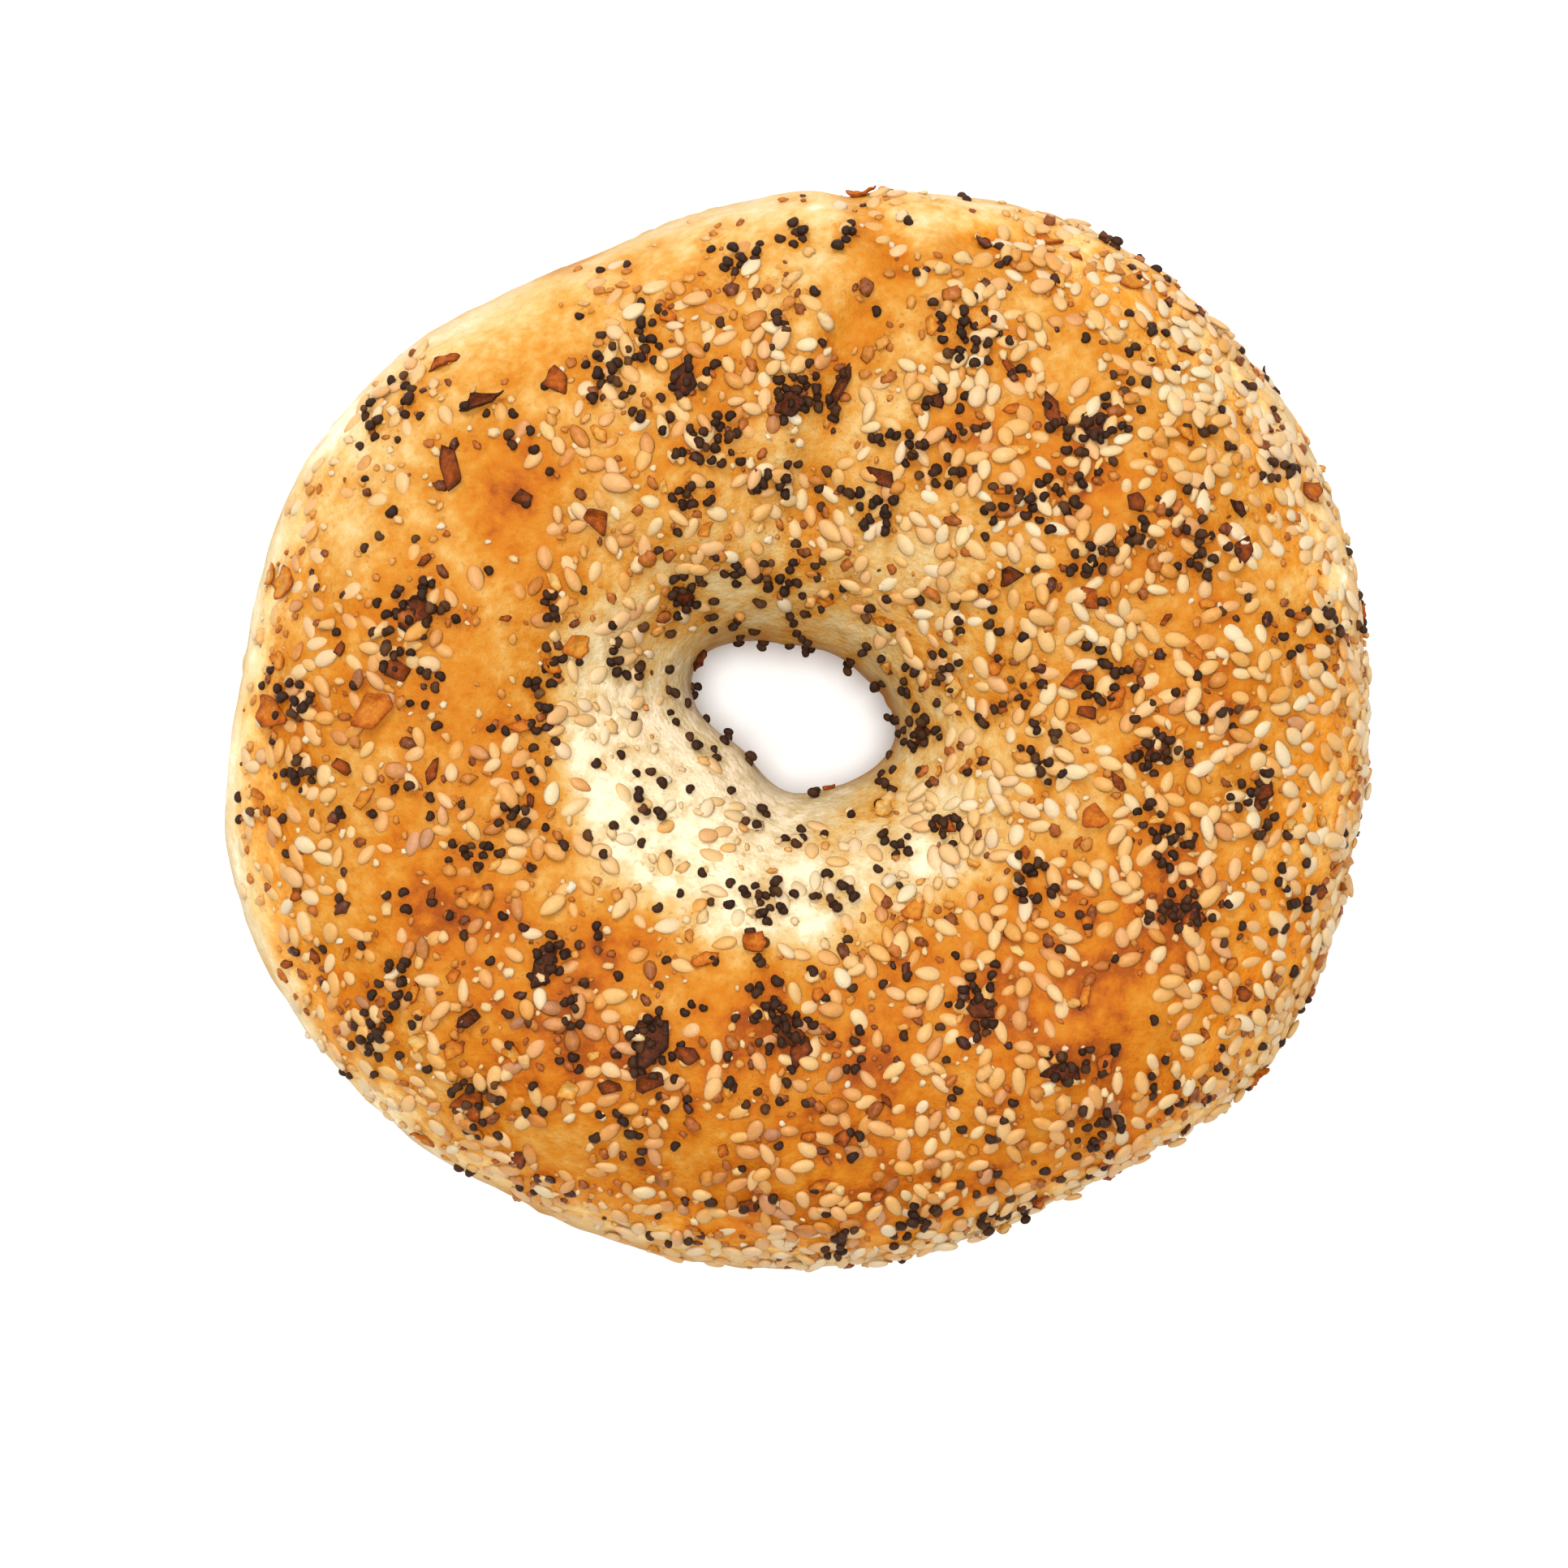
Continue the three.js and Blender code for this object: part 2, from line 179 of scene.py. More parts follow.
# Flakes of onion that show singly: (x, y, length, width, direction in degrees, tone). Tone runs from
# 0, pale, to 1, burnt.
ONION_SINGLES = [
    (-33, 25, 5.4, 2.2, 97, 0.74), (-26, 22, 2.0, 1.8, 40, 0.84), (49, 23, 3.0, 2.4, 20, 0.52),
    (-50, 2, 4.2, 3.0, 160, 0.46), (-40, 2, 4.2, 2.8, 40, 0.44), (11, -17, 3.0, 2.4, 70, 0.36),
    (32, 43, 3.8, 2.2, 15, 0.34), (-19, 20, 3.4, 2.2, 130, 0.66), (-11, 33, 3.4, 2.8, 90, 0.94),
    (-24, -22, 4.6, 2.0, 72, 0.97), (-14, -29, 4.8, 3.6, 60, 0.92), (-14, -33, 2.8, 2.0, 20, 0.8),
    (-31, -35, 4.2, 3.0, 50, 0.62), (-31, -27, 2.6, 1.6, 20, 0.95), (-1, -28, 3.6, 2.4, 110, 0.8),
    (0, -30, 3.2, 2.0, 60, 0.78), (25, -32, 4.2, 1.7, 5, 0.93), (17, -26, 3.2, 2.4, 130, 0.84),
    (36, -17, 4.0, 2.0, 170, 0.9), (37, -18, 3.2, 2.4, 80, 0.66), (4, 33, 4.8, 1.5, 62, 0.92),
    (-1, 31, 3.0, 2.2, 20, 0.92), (28, 29, 3.4, 2.4, 0, 0.92), (24, 30, 3.6, 1.6, 110, 0.8),
    (-36, 11, 4.0, 2.8, 60, 0.86), (-38, 6, 3.6, 2.4, 140, 0.74), (47, 35, 4.0, 1.4, 132, 0.84),
    (-49, 14, 3.6, 2.8, 80, 0.3), (-21, 8, 3.4, 2.6, 30, 0.33), (24, 47, 3.4, 1.2, 10, 0.42),
    (6, 52, 3.6, 1.6, 160, 0.4), (37, 8, 3.2, 1.4, 140, 0.4), (26, 5, 3.2, 1.6, 30, 0.6),
    (30, 3, 3.0, 1.4, 60, 0.5), (14, -9, 3.0, 1.3, 150, 0.6), (28, -8, 2.8, 2.2, 0, 0.46),
    (34, -2, 2.8, 2.4, 70, 0.86), (44, -6, 3.2, 2.0, 60, 0.8), (42, 17, 3.0, 2.0, 60, 0.78),
    (8, 24, 3.2, 1.8, 150, 0.84), (-11, 13, 2.8, 1.6, 110, 0.88), (12, 0, 3.0, 1.8, 20, 0.85),
    (-30, 31, 6.0, 1.2, 18, 0.84), (-23, 33, 3.2, 2.4, 140, 0.6), (-34, 35, 3.6, 1.6, 20, 0.58),
]

# Places are drawn, thinned to the share that is wanted and kept apart. LARGE_AREA is the quantile
# of area that counts as full, and BLOCK is how many distances are taken at a time.
SEED_DRAWS, ONION_DRAWS, LARGE_AREA = 40000, 6000, 0.98
SEED_SIZE_SPREAD, SEED_SIZES = 0.1, (0.75, 1.25)
FAR_AWAY, BLOCK = 99.0, 400
LEAST_UPRIGHT = 0.05

# A gap is the least distance between two, a lift is how far one stands out of the crust, and a
# lean is in radians. OFF_RIM and ON_PALE thin the topping out by the hole and on pale dough.
SESAME_COUNT, SESAME_GAP, SESAME_TOUCH = 1700, 1.25, 1.65
SESAME_SIZE = (2.26, 1.42, 0.72)
SESAME_RINGS, SESAME_SIDES = 7, 8
SESAME_STRETCH = (0.84, 1.14)
SESAME_TAPER, SESAME_WIDEST, SESAME_ROUNDING = 0.65, 0.455, 0.7
SESAME_LIFT, SESAME_LAYER, MOST_LAYERS = (-0.17, 0.08), 0.28, 2
SESAME_LEAN, LEAN_ON_SEED = 0.12, 0.1
SESAME_OFF_RIM, SESAME_WHERE_FEW = (2, 6), 0.2
RICHER_SIDE, RICHER_SLANT, POORER_SHARE = (-25, 15), 0.4, 0.5
CLUMP_SIZE_OCTAVES, CLUMP_LEVEL, BETWEEN_CLUMPS = (5.5, 2), (-0.25, 0.3), 0.3
SESAME_TOASTED, SESAME_TONE, SESAME_TONE_SPREAD, DARKEST_SESAME = 0.62, 0.22, 0.15, 0.95
PALER_ON_RIGHT, RIGHT_SIDE, PALER_ON_RIM = 0.13, (-12, 22), 0.08
PALE_SEEDS, PALE_SEEDS_BY = 0.2, 0.28
BLUSH_SPREAD = (0.8, 1.4)

POPPY_GROUPS, POPPY_SPREAD, POPPY_GAP = 565, 1.6, 0.88
POPPY_GROUP_SIZES = [1, 1, 1, 1, 2, 2, 3, 4]
POPPY_SIZE, POPPY_LEAN = (1.14, 0.98, 0.86), 0.5
POPPY_DENT, POPPY_DENT_WIDTH, POPPY_BEND = 0.34, 0.5, 0.12
POPPY_LIFT, POPPY_ON_SEED, ON_SEED_WITHIN = 0.1, 0.5, (1.25, 0.5)
POPPY_LAYER, UPPER_GAP = 0.55, 1.2
POPPY_OFF_SEED, POPPIES_ON_SEEDS, HEAPED_ON_SEEDS = 0.95, 0.1, 0.4
HEAP_TRIES, HEAP_SPREAD, LOWEST_HEAP_TURN = 3, 0.55, 0.4
GROUP_TRIES, SECTION_REACH = 5, 20
POPPY_WHERE_BARE, POPPY_OFF_RIM = 0.12, (0, 2.5)
POPPY_ON_PALE, FEWER_ON_OUTER_RIM = 0.55, 0.45
POPPY_TONE_SPREAD = (1.3, 3.4)

ONION_COUNT, ONION_GAP, ONION_LIFT, ONION_LEAN = 120, 3.0, 0.15, 0.16
ONION_LENGTHS, ONION_WIDTHS, ONION_ON_PALE = (1.3, 2.8), (0.4, 0.8), 0
ONION_TONE_SPREAD, ONION_EDGE, ONION_EDGE_FROM = (2.0, 2.2), 0.22, 0.4
CHIP_STEPS = (11, 8)
CHIP_BREAKS, CHIP_BREAK_TURN, LEAST_FACING = 5, 0.25, 0.3
CHIP_BREAK_REACH, CHIP_REACH = (0.62, 1.0), (0.5, 1.2)
CHIP_THICKNESS, THINNER_AT_EDGE = 0.42, 0.5
BEND_ALONG, BEND_ACROSS = (-0.06, 0.16), (0.04, 0.2)
CHIP_WRINKLE, WRINKLE_ALONG, WRINKLE_ACROSS = 0.14, 2.2, 2.9
CROSS_WRINKLE, CROSS_ALONG, CROSS_ACROSS = 0.5, 5, 4

CRUMB_COUNT, CRUMB_GAP, CRUMB_LIFT, CRUMB_LEAN = 1800, 0.8, 0.25, 0.2
CRUMB_RADIUS, CRUMB_SPREAD, CRUMB_RADII = 0.38, 0.35, (0.2, 0.85)
CRUMB_ROUGHNESS = 0.28
CRUMB_LEAST, CRUMB_MOST = [1.0, 0.65, 0.45], [1.35, 1.0, 0.75]
CRUMBS_WHERE_BARE, CRUMBS_OFF_RIM, CRUMBS_ON_PALE = 0.15, (1.5, 6), 0.3
DARK_CRUMBS, DARK_WHERE_TOASTED = 0.6, (0.0, 0.35)
DARK_CRUMB, PALE_CRUMB, CRUMB_TONE_SPREAD = 0.74, 0.32, 0.14

# Light. A lamp is (name, how bright it makes a white floor, direction and height in degrees,
# distance and width in metres).
WORLD_STRENGTH, WORLD_COLOUR = 0.6, (1.0, 0.99, 0.97, 1.0)
LAMPS = [("key", 0.5, 108, 50, 1.1, 0.5), ("overhead", 1.04, 0, 90, 1.2, 0.4)]
LIGHT_ON_TOP = 1.96

# The floor lies just under the bagel. Its side is in metres.
FLOOR_SIDE, FLOOR_DROP, FLOOR_NOISE, FLOOR_ROUGHNESS = 4.0, 0.05, (300, 2, 0.5), 0.75
FLOOR_COLOUR = (0.91, 0.91, 0.90, 1.0)
FLOOR_DARKER = (0.89, 0.89, 0.88, 1.0)

# The camera looks straight down. FRAME_WIDTH is what it takes in at the bagel's girth.
LENS, SENSOR = 100, 36
FRAME_WIDTH = 154.6
FRAME_X, FRAME_Y = -1.40, -4.96

random = np.random.default_rng(7)


def smooth_step(low, high, value):
    share = np.clip((value - low) / (high - low), 0, 1)
    return share * share * (3 - 2 * share)


def at_least(least, share):
    """A share from 0 to 1, raised so that least is the lowest that it gets."""
    return least + (1 - least) * share


def waves(rows, angle):
    return sum(height * np.cos(crests * (angle - math.radians(at))) for crests, height, at in rows)


def crease_depth(x, y):
    """How far the creases pull the crust in, at places in plan."""
    total = np.zeros_like(x)
    for x0, y0, x1, y1, depth, half_width in CREASES:
        run_x, run_y = x1 - x0, y1 - y0
        along = np.clip(((x - x0) * run_x + (y - y0) * run_y) / (run_x**2 + run_y**2), 0, 1)
        away = np.hypot(x - x0 - along * run_x, y - y0 - along * run_y) / half_width
        total += depth * np.exp(-away * away)
    return total


def rolled_form(angle, turn):
    """Points of the plain crust, the same as the CAD solid's. angle goes round the ring and turn
    round its section, from the outer girth over the crown to the hole and back under the base."""
    outer = OUTER_RADIUS + waves(OUTER_WAVES, angle)
    inner = HOLE_RADIUS + waves(HOLE_WAVES, angle)
    inner_x = HOLE_X + inner * np.cos(angle)
    inner_y = HOLE_Y + inner * np.sin(angle)
    span_x = outer * np.cos(angle) - inner_x
    span_y = outer * np.sin(angle) - inner_y
    width = np.hypot(span_x, span_y)

    across = np.sign(np.cos(turn)) * np.abs(np.cos(turn)) ** (2 / SECTION_POWER) * width / 2
    upwards = np.sign(np.sin(turn)) * np.abs(np.sin(turn)) ** (2 / SECTION_POWER)
    crown = CROWN_HEIGHT + waves(CROWN_WAVES, angle) - GIRTH_LEVEL
    up = upwards * np.where(upwards > 0, crown, GIRTH_LEVEL + BELLY_BELOW_TABLE)

    plain_share = 0.5 + across / width
    lump = sum(
        height * np.cos(ring * angle + section * turn + math.radians(phase))
        for ring, section, height, phase in LUMPS
    ) * smooth_step(*LUMPS_FADE, plain_share)
    crease = crease_depth(inner_x + plain_share * span_x, inner_y + plain_share * span_y)
    crease = crease * smooth_step(*CREASES_FADE, upwards)
    grown = 1 + (lump - crease) / np.hypot(across, up)

    share = 0.5 + across * grown / width
    leaning = share + CROWN_SHIFT * 4 * share * (1 - share)
    height = GIRTH_LEVEL + up * grown
    rolled = np.clip(height + BASE_ROLL, 0, 2 * BASE_ROLL) ** 2 / (4 * BASE_ROLL)
    height = np.where(height >= BASE_ROLL, height, rolled)
    return np.stack([inner_x + leaning * span_x, inner_y + leaning * span_y, height], axis=-1)


def outward(angle, turn):
    """Vectors straight out of the plain crust, each as long as the area that it stands for."""
    here = rolled_form(angle, turn)
    round_ring = rolled_form(angle + SMALL_STEP, turn) - here
    round_section = rolled_form(angle, turn + SMALL_STEP) - here
    return np.cross(round_ring, round_section) / SMALL_STEP**2


def unit(vectors):
    return vectors / np.linalg.norm(vectors, axis=-1, keepdims=True)


def skin_height(points):
    """How far the baked skin stands out of the rolled form at each point."""
    heights = np.empty(len(points))
    for i, point in enumerate(points.tolist()):
        place = Vector(point)
        dimple = noise.fractal(place / DIMPLE_SIZE, ROUGHEN, DIMPLE_FINER, DIMPLE_OCTAVES)
        ripple = noise.noise(place / RIPPLE_SIZE)
        (nearest, *_), (centre, *_) = noise.voronoi(place / BLISTER_SPACING)
        blister = max(0.0, 1 - (nearest / BLISTER_WIDTH) ** 2) ** 2
        if noise.cell(centre * BLISTER_SHUFFLE) > 2 * BLISTERED_SHARE - 1:
            blister = 0
        heights[i] = dimple * DIMPLE_HEIGHT + ripple * RIPPLE_HEIGHT + blister * BLISTER_HEIGHT
    return heights * smooth_step(*SMOOTH_BASE, points[:, 2])


def crust_surface(angle, turn):
    """Points of the baked crust and the directions out of it."""
    plain = rolled_form(angle, turn)
    normals = unit(outward(angle, turn))
    return plain + normals * skin_height(plain)[:, None], normals


def spots_under(x, y):
    """The angle and turn of the places on top of the crust that lie at x, y in plan."""
    x, y = np.atleast_1d(np.asarray(x, float)), np.atleast_1d(np.asarray(y, float))
    angle, reach = np.arctan2(y, x), np.hypot(x, y)
    for _ in range(AIM_ROUNDS):
        low, high = np.zeros_like(x), np.full_like(x, math.pi)
        for _ in range(AIM_HALVINGS):
            middle = (low + high) / 2
            point = rolled_form(angle, middle)
            too_far = np.hypot(point[:, 0], point[:, 1]) > reach
            low, high = np.where(too_far, middle, low), np.where(too_far, high, middle)
        point = rolled_form(angle, low)
        off = np.arctan2(y, x) - np.arctan2(point[:, 1], point[:, 0])
        angle = angle + (off + math.pi) % FULL_TURN - math.pi
    return angle, low


def patches(rows, points):
    """The sum of soft round patches at points."""
    total = np.zeros(len(points))
    for x, y, radius, strength in rows:
        away = np.hypot(points[:, 0] - x, points[:, 1] - y) / radius
        total += strength * np.exp(-PATCH_FALL * away * away)
    return total * smooth_step(*PATCHES_FROM, points[:, 2])


def hole_reach(points):
    """How far points lie from the middle of the hole in plan, and in which direction."""
    x, y = points[:, 0] - HOLE_X, points[:, 1] - HOLE_Y
    return np.hypot(x, y), np.arctan2(y, x)


def from_hole_rim(points):
    reach, direction = hole_reach(points)
    return reach - HOLE_RADIUS - waves(HOLE_WAVES, direction)


def fractal(points, size, octaves):
    """Uneven noise with features of a size, round 0."""
    rows = points.tolist()
    return np.array([noise.fractal(Vector(row) / size, ROUGHEN, FINER, octaves) for row in rows])


def toasting(points):
    """How brown the crust is, from 0, pale dough, to 1, dark. On the rim it is partly painted light,
    and low in the hole partly painted shade.
    """
    height = points[:, 2]
    reach, direction = hole_reach(points)
    # Painted light: the rim is paler on the side away from the key lamp.
    rim = RIM_TOAST - RIM_PAINTED_LIGHT_SWING * np.cos(direction - math.radians(RIM_PAINTED_LIGHT_AT))
    crown = CROWN_TOAST + CROWN_TOAST_SWING * np.cos(direction - math.radians(BROWNEST_CROWN))
    level = rim + (crown - rim) * smooth_step(*CROWN_FROM, height)
    level = LOW_SIDE_TOAST + (level - LOW_SIDE_TOAST) * smooth_step(*ABOVE_LOW_SIDE, height)
    level = INSIDE_TOAST + (level - INSIDE_TOAST) * smooth_step(*INSIDE_REACH, reach)
    pale_side = smooth_step(*PALE_RING_SIDE, np.cos(direction - math.radians(PALE_RING_AT)))
    level -= PALE_RING * pale_side * smooth_step(*PALE_RING_REACH, reach)
    # Low in the hole: partly browning, partly painted shade on the wall.
    level += THROAT_TOAST_AND_SHADE * smooth_step(*THROAT_LEVEL, height) * smooth_step(*THROAT_REACH, reach)
    level += patches(BROWNED, points) - patches(PALE, points)
    crease = crease_depth(points[:, 0], points[:, 1])
    level += CREASE_DARKENING * crease * smooth_step(*CREASE_DARKENING_FROM, height)
    mottle = fractal(points, *MOTTLE_SIZE_OCTAVES)
    level += MOTTLE * mottle
    on_base = smooth_step(*BASE_LEVEL, height)
    return np.clip(level + (BASE_TOAST + BASE_MOTTLE * mottle - level) * on_base, 0, 1)


def rim_share(points):
    """How much of the rim round the outside below the crown lies at points. The crust is painted
    paler there, partly pale dough and partly painted light, less on the side facing the key lamp.
    """
    reach, direction = hole_reach(points)
    facing_key = smooth_step(*RIM_FACING, np.cos(direction - math.radians(RIM_FACING_KEY)))
    height = points[:, 2]
    level = smooth_step(*RIM_TOP, height) * smooth_step(*RIM_FOOT, height) * (reach > RIM_OUTSIDE)
    return level * (1 - (1 - RIM_KEPT) * facing_key)


def crowding(points, places):
    """How closely the topping lies round each point, from 0 to 1."""
    tree = kdtree.KDTree(len(places))
    for index, place in enumerate(places.tolist()):
        tree.insert(place, index)
    tree.balance()
    total = np.zeros(len(points))
    for index, point in enumerate(points.tolist()):
        if point[2] > TOPPING_LOWEST:
            near = tree.find_range(point, CROWD_REACH)
            total[index] = sum(1 - found[2] / CROWD_REACH for found in near)
    return np.clip(total / FULL_CROWD, 0, 1)


# Shapes

def mesh_piece(name, points, faces, material, slot, **attributes):
    """A mesh piece from points in millimetres and faces with one number of corners."""
    mesh = bpy.data.meshes.new(name)
    mesh.vertices.add(len(points))
    mesh.vertices.foreach_set("co", (points * MM).astype(np.float32).ravel())
    mesh.loops.add(faces.size)
    mesh.loops.foreach_set("vertex_index", faces.astype(np.int32).ravel())
    mesh.polygons.add(len(faces))
    starts = np.arange(0, faces.size, faces.shape[1], dtype=np.int32)
    mesh.polygons.foreach_set("loop_start", starts)
    mesh.polygons.foreach_set("use_smooth", np.ones(len(faces), bool))
    mesh.update(calc_edges=True)
    mesh.validate()
    for key, values in attributes.items():
        layer = mesh.attributes.new(key, "FLOAT", "POINT")
        layer.data.foreach_set("value", np.asarray(values, np.float32))
    mesh.materials.append(material)
    piece = bpy.data.objects.new(name, mesh)
    bpy.context.scene.collection.objects.link(piece)
    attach(piece, "root")
    return piece


def laid(shapes, faces, places, normals, headings, leans, sizes):
    """Points and faces of many small things on the crust, one shape for each.

    A heading is the direction in plan in which a thing's X points, and a lean lifts that end.
    """
    plan = np.stack([np.cos(headings), np.sin(headings), np.zeros(len(headings))], axis=1)
    upright = np.array([0.0, 0.0, 1.0])
    tilt = (normals * plan).sum(axis=1) / np.maximum(1 + normals[:, 2], LEAST_UPRIGHT)
    along = unit(plan - tilt[:, None] * (normals + upright))
    athwart = np.cross(normals, along)
    cosine, sine = np.cos(leans)[:, None], np.sin(leans)[:, None]
    axes = np.stack([along * cosine + normals * sine, athwart, normals * cosine - along * sine], 1)
    points = np.einsum("nvk,nkc->nvc", shapes * sizes[:, None, None], axes) + places[:, None, :]
    shifts = np.arange(len(places))[:, None, None] * shapes.shape[1]
    return points.reshape(-1, 3), (faces[None] + shifts).reshape(-1, faces.shape[1])


def seed_faces(rings, sides):
    """Triangles of a closed shape made of rings of points between two end points."""
    faces = []
    last = 1 + (rings - 1) * sides
    for side in range(sides):
        following = (side + 1) % sides
        faces.append((0, 1 + following, 1 + side))
        faces.append((last + sides, last + side, last + following))
        for start in range(1, last, sides):
            faces.append((start + side, start + following, start + sides + following))
            faces.append((start + side, start + sides + following, start + sides + side))
    return np.array(faces)


def sesame_shape():
    """A flat drop, its point towards +X, and how far along it each point lies, from 0 to 1."""
    length, width, thickness = SESAME_SIZE
    points, along = [(-length / 2, 0, 0)], [0.0]
    for ring in range(SESAME_RINGS):
        share = (1 - math.cos(math.pi * (ring + 1) / (SESAME_RINGS + 1))) / 2
        girth = math.sqrt(share) * (1 - share) ** SESAME_TAPER / SESAME_WIDEST
        for side in range(SESAME_SIDES):
            turn = FULL_TURN * side / SESAME_SIDES
            y = math.cos(turn) * width / 2 * girth
            z = math.sin(turn) * thickness / 2 * girth**SESAME_ROUNDING
            points.append((length * (share - 0.5), y, z))
            along.append(share)
    return np.array(points + [(length / 2, 0, 0)]), np.array(along + [1.0])


def ball():
    """The points and faces of a ball of radius 1 made of near-even triangles."""
    shape = bmesh.new()
    bmesh.ops.create_icosphere(shape, subdivisions=2, radius=1)
    points = np.array([corner.co[:] for corner in shape.verts])
    faces = np.array([[corner.index for corner in face.verts] for face in shape.faces])
    shape.free()
    return points, faces


def poppy_shape():
    """A kidney-shaped seed."""
    points, faces = ball()
    dent = POPPY_DENT * np.exp(-((points[:, 0] / POPPY_DENT_WIDTH) ** 2))
    points[:, 1] += dent * smooth_step(0, -1, points[:, 1]) - POPPY_BEND * points[:, 0] ** 2
    return points * np.array(POPPY_SIZE) / 2, faces


def chip_faces():
    """Quads of a thin chip: a grid of points on top, the same underneath, and a rim between."""
    along, across = CHIP_STEPS
    size = along * across
    faces = []
    for a in range(along - 1):
        for b in range(across - 1):
            start = a * across + b
            quad = [start, start + across, start + across + 1, start + 1]
            faces.append(quad)
            faces.append([size + corner for corner in reversed(quad)])
    rim = [a * across for a in range(along)]
    rim += [(along - 1) * across + b for b in range(1, across)]
    rim += [a * across + across - 1 for a in range(along - 2, -1, -1)]
    rim += list(range(across - 2, 0, -1))
    for here, there in zip(rim, rim[1:] + rim[:1]):
        faces.append([here, size + here, size + there, there])
    return np.array(faces)


def chip_shape(length, width):
    """A broken, curled chip, and how near its edge each point lies, from 0 to 1."""
    along, across = CHIP_STEPS
    u, v = np.meshgrid(np.linspace(-1, 1, along), np.linspace(-1, 1, across), indexing="ij")
    u, v = u.ravel(), v.ravel()
    x, y = u * np.sqrt(1 - v * v / 2), v * np.sqrt(1 - u * u / 2)
    turns, edge = np.arctan2(y, x), np.hypot(x, y)

    breaks = np.arange(CHIP_BREAKS) * FULL_TURN / CHIP_BREAKS
    breaks = breaks + random.uniform(0, FULL_TURN) + random.normal(0, CHIP_BREAK_TURN, CHIP_BREAKS)
    facing = np.maximum(np.cos(turns[:, None] - breaks), LEAST_FACING)
    reach = (random.uniform(*CHIP_BREAK_REACH, CHIP_BREAKS) / facing).min(axis=1)
    reach = reach.clip(*CHIP_REACH)
    x, y = x * reach * length / 2, y * reach * width / 2

    phases = random.uniform(0, FULL_TURN, 3)
    bend_x, bend_y = random.uniform(*BEND_ALONG), random.uniform(*BEND_ACROSS)
    curl = length * (bend_x * (2 * x / length) ** 2 + bend_y * (2 * y / width) ** 2)
    wrinkle = CHIP_WRINKLE * np.sin(WRINKLE_ALONG * x + phases[0])
    wrinkle = wrinkle * np.cos(WRINKLE_ACROSS * y + phases[1])
    crossing = np.sin(CROSS_ALONG * x + CROSS_ACROSS * y + phases[2])
    wrinkle += CROSS_WRINKLE * CHIP_WRINKLE * crossing
    thick = CHIP_THICKNESS / 2 * (1 - THINNER_AT_EDGE * edge**4)
    top = np.stack([x, y, curl + wrinkle + thick], 1)
    under = np.stack([x, y, curl + wrinkle - thick], 1)
    return np.concatenate([top, under]), np.tile(edge, 2)


# Places

def keep_apart(points, gap, taken=(), limit=None):
    """The indices of points, in order, that lie no nearer than gap to one already kept."""
    cells, kept = {}, []
    nearby = [(i, j, k) for i in (-1, 0, 1) for j in (-1, 0, 1) for k in (-1, 0, 1)]

    def cell(point):
        return tuple(int(math.floor(value / gap)) for value in point)

    def is_free(point):
        i, j, k = cell(point)
        around = (cells.get((i + di, j + dj, k + dk), ()) for di, dj, dk in nearby)
        return all(math.dist(point, other) >= gap for group in around for other in group)

    for point in taken:
        cells.setdefault(cell(point), []).append(tuple(point))
    for index, point in enumerate(points.tolist()):
        if len(kept) == limit:
            break
        if is_free(point):
            cells.setdefault(cell(point), []).append(tuple(point))
            kept.append(index)
    return kept


def nearest_gap(points, others):
    """How far each point is from the nearest of others."""
    nearest = np.full(len(points), FAR_AWAY)
    for start in range(0, len(points), BLOCK):
        block = points[start:start + BLOCK, None, :] - others[None]
        nearest[start:start + BLOCK] = np.linalg.norm(block, axis=2).min(axis=1)
    return nearest


def layer_of(places, reach):
    """How many of the things laid before each one lie within reach of it."""
    apart = np.linalg.norm(places[:, None, :] - places[None], axis=2)
    return np.tril(apart < reach, -1).sum(axis=1)


def bareness(points, rows):
    """The share of topping that bare patches leave."""
    share = np.ones(len(points))
    for x, y, radius in rows:
        away = np.hypot(points[:, 0] - x, points[:, 1] - y) / radius
        share *= smooth_step(*BARE_EDGE, away)
    return share


def topped(points):
    """How thickly the topping lies, from 0 to 1: it thins out down the sides."""
    reach, direction = hole_reach(points)
    level = TOPPED_FROM + TOPPED_SWING * np.cos(direction - math.radians(BAREST_SIDE))
    outside = smooth_step(level - TOPPED_FADE, level + TOPPED_FADE, points[:, 2])
    inside = smooth_step(*TOPPED_IN_HOLE, points[:, 2])
    return outside + (inside - outside) * smooth_step(*HOLE_SIDE, reach)


def off_pale_dough(points, left):
    """The share of topping on the dough: all of it where browned, and left where pale."""
    return at_least(left, smooth_step(*PALE_DOUGH, toasting(points)))


def scattered(draws, share_of):
    """Angles and turns spread evenly over the crust, thinned by share_of."""
    angle, turn = random.uniform(0, FULL_TURN, draws), random.uniform(0, FULL_TURN, draws)
    points = rolled_form(angle, turn)
    area = np.linalg.norm(outward(angle, turn), axis=1)
    chance = area / np.quantile(area, LARGE_AREA) * share_of(points)
    kept = random.uniform(0, 1, draws) < chance
    return angle[kept], turn[kept]


def seed_sizes(count):
    """How large each of count seeds is beside the usual one."""
    return random.normal(1, SEED_SIZE_SPREAD, count).clip(*SEED_SIZES)


# Colour

def lit(red, green, blue):
    """The surface colour that the light on the crown turns into these 8-bit sRGB values."""
    return tuple(
        (v / 12.92 if v <= 0.04045 else ((v + 0.055) / 1.055) ** 2.4) / LIGHT_ON_TOP
        for v in (red / 255, green / 255, blue / 255)
    ) + (1.0,)


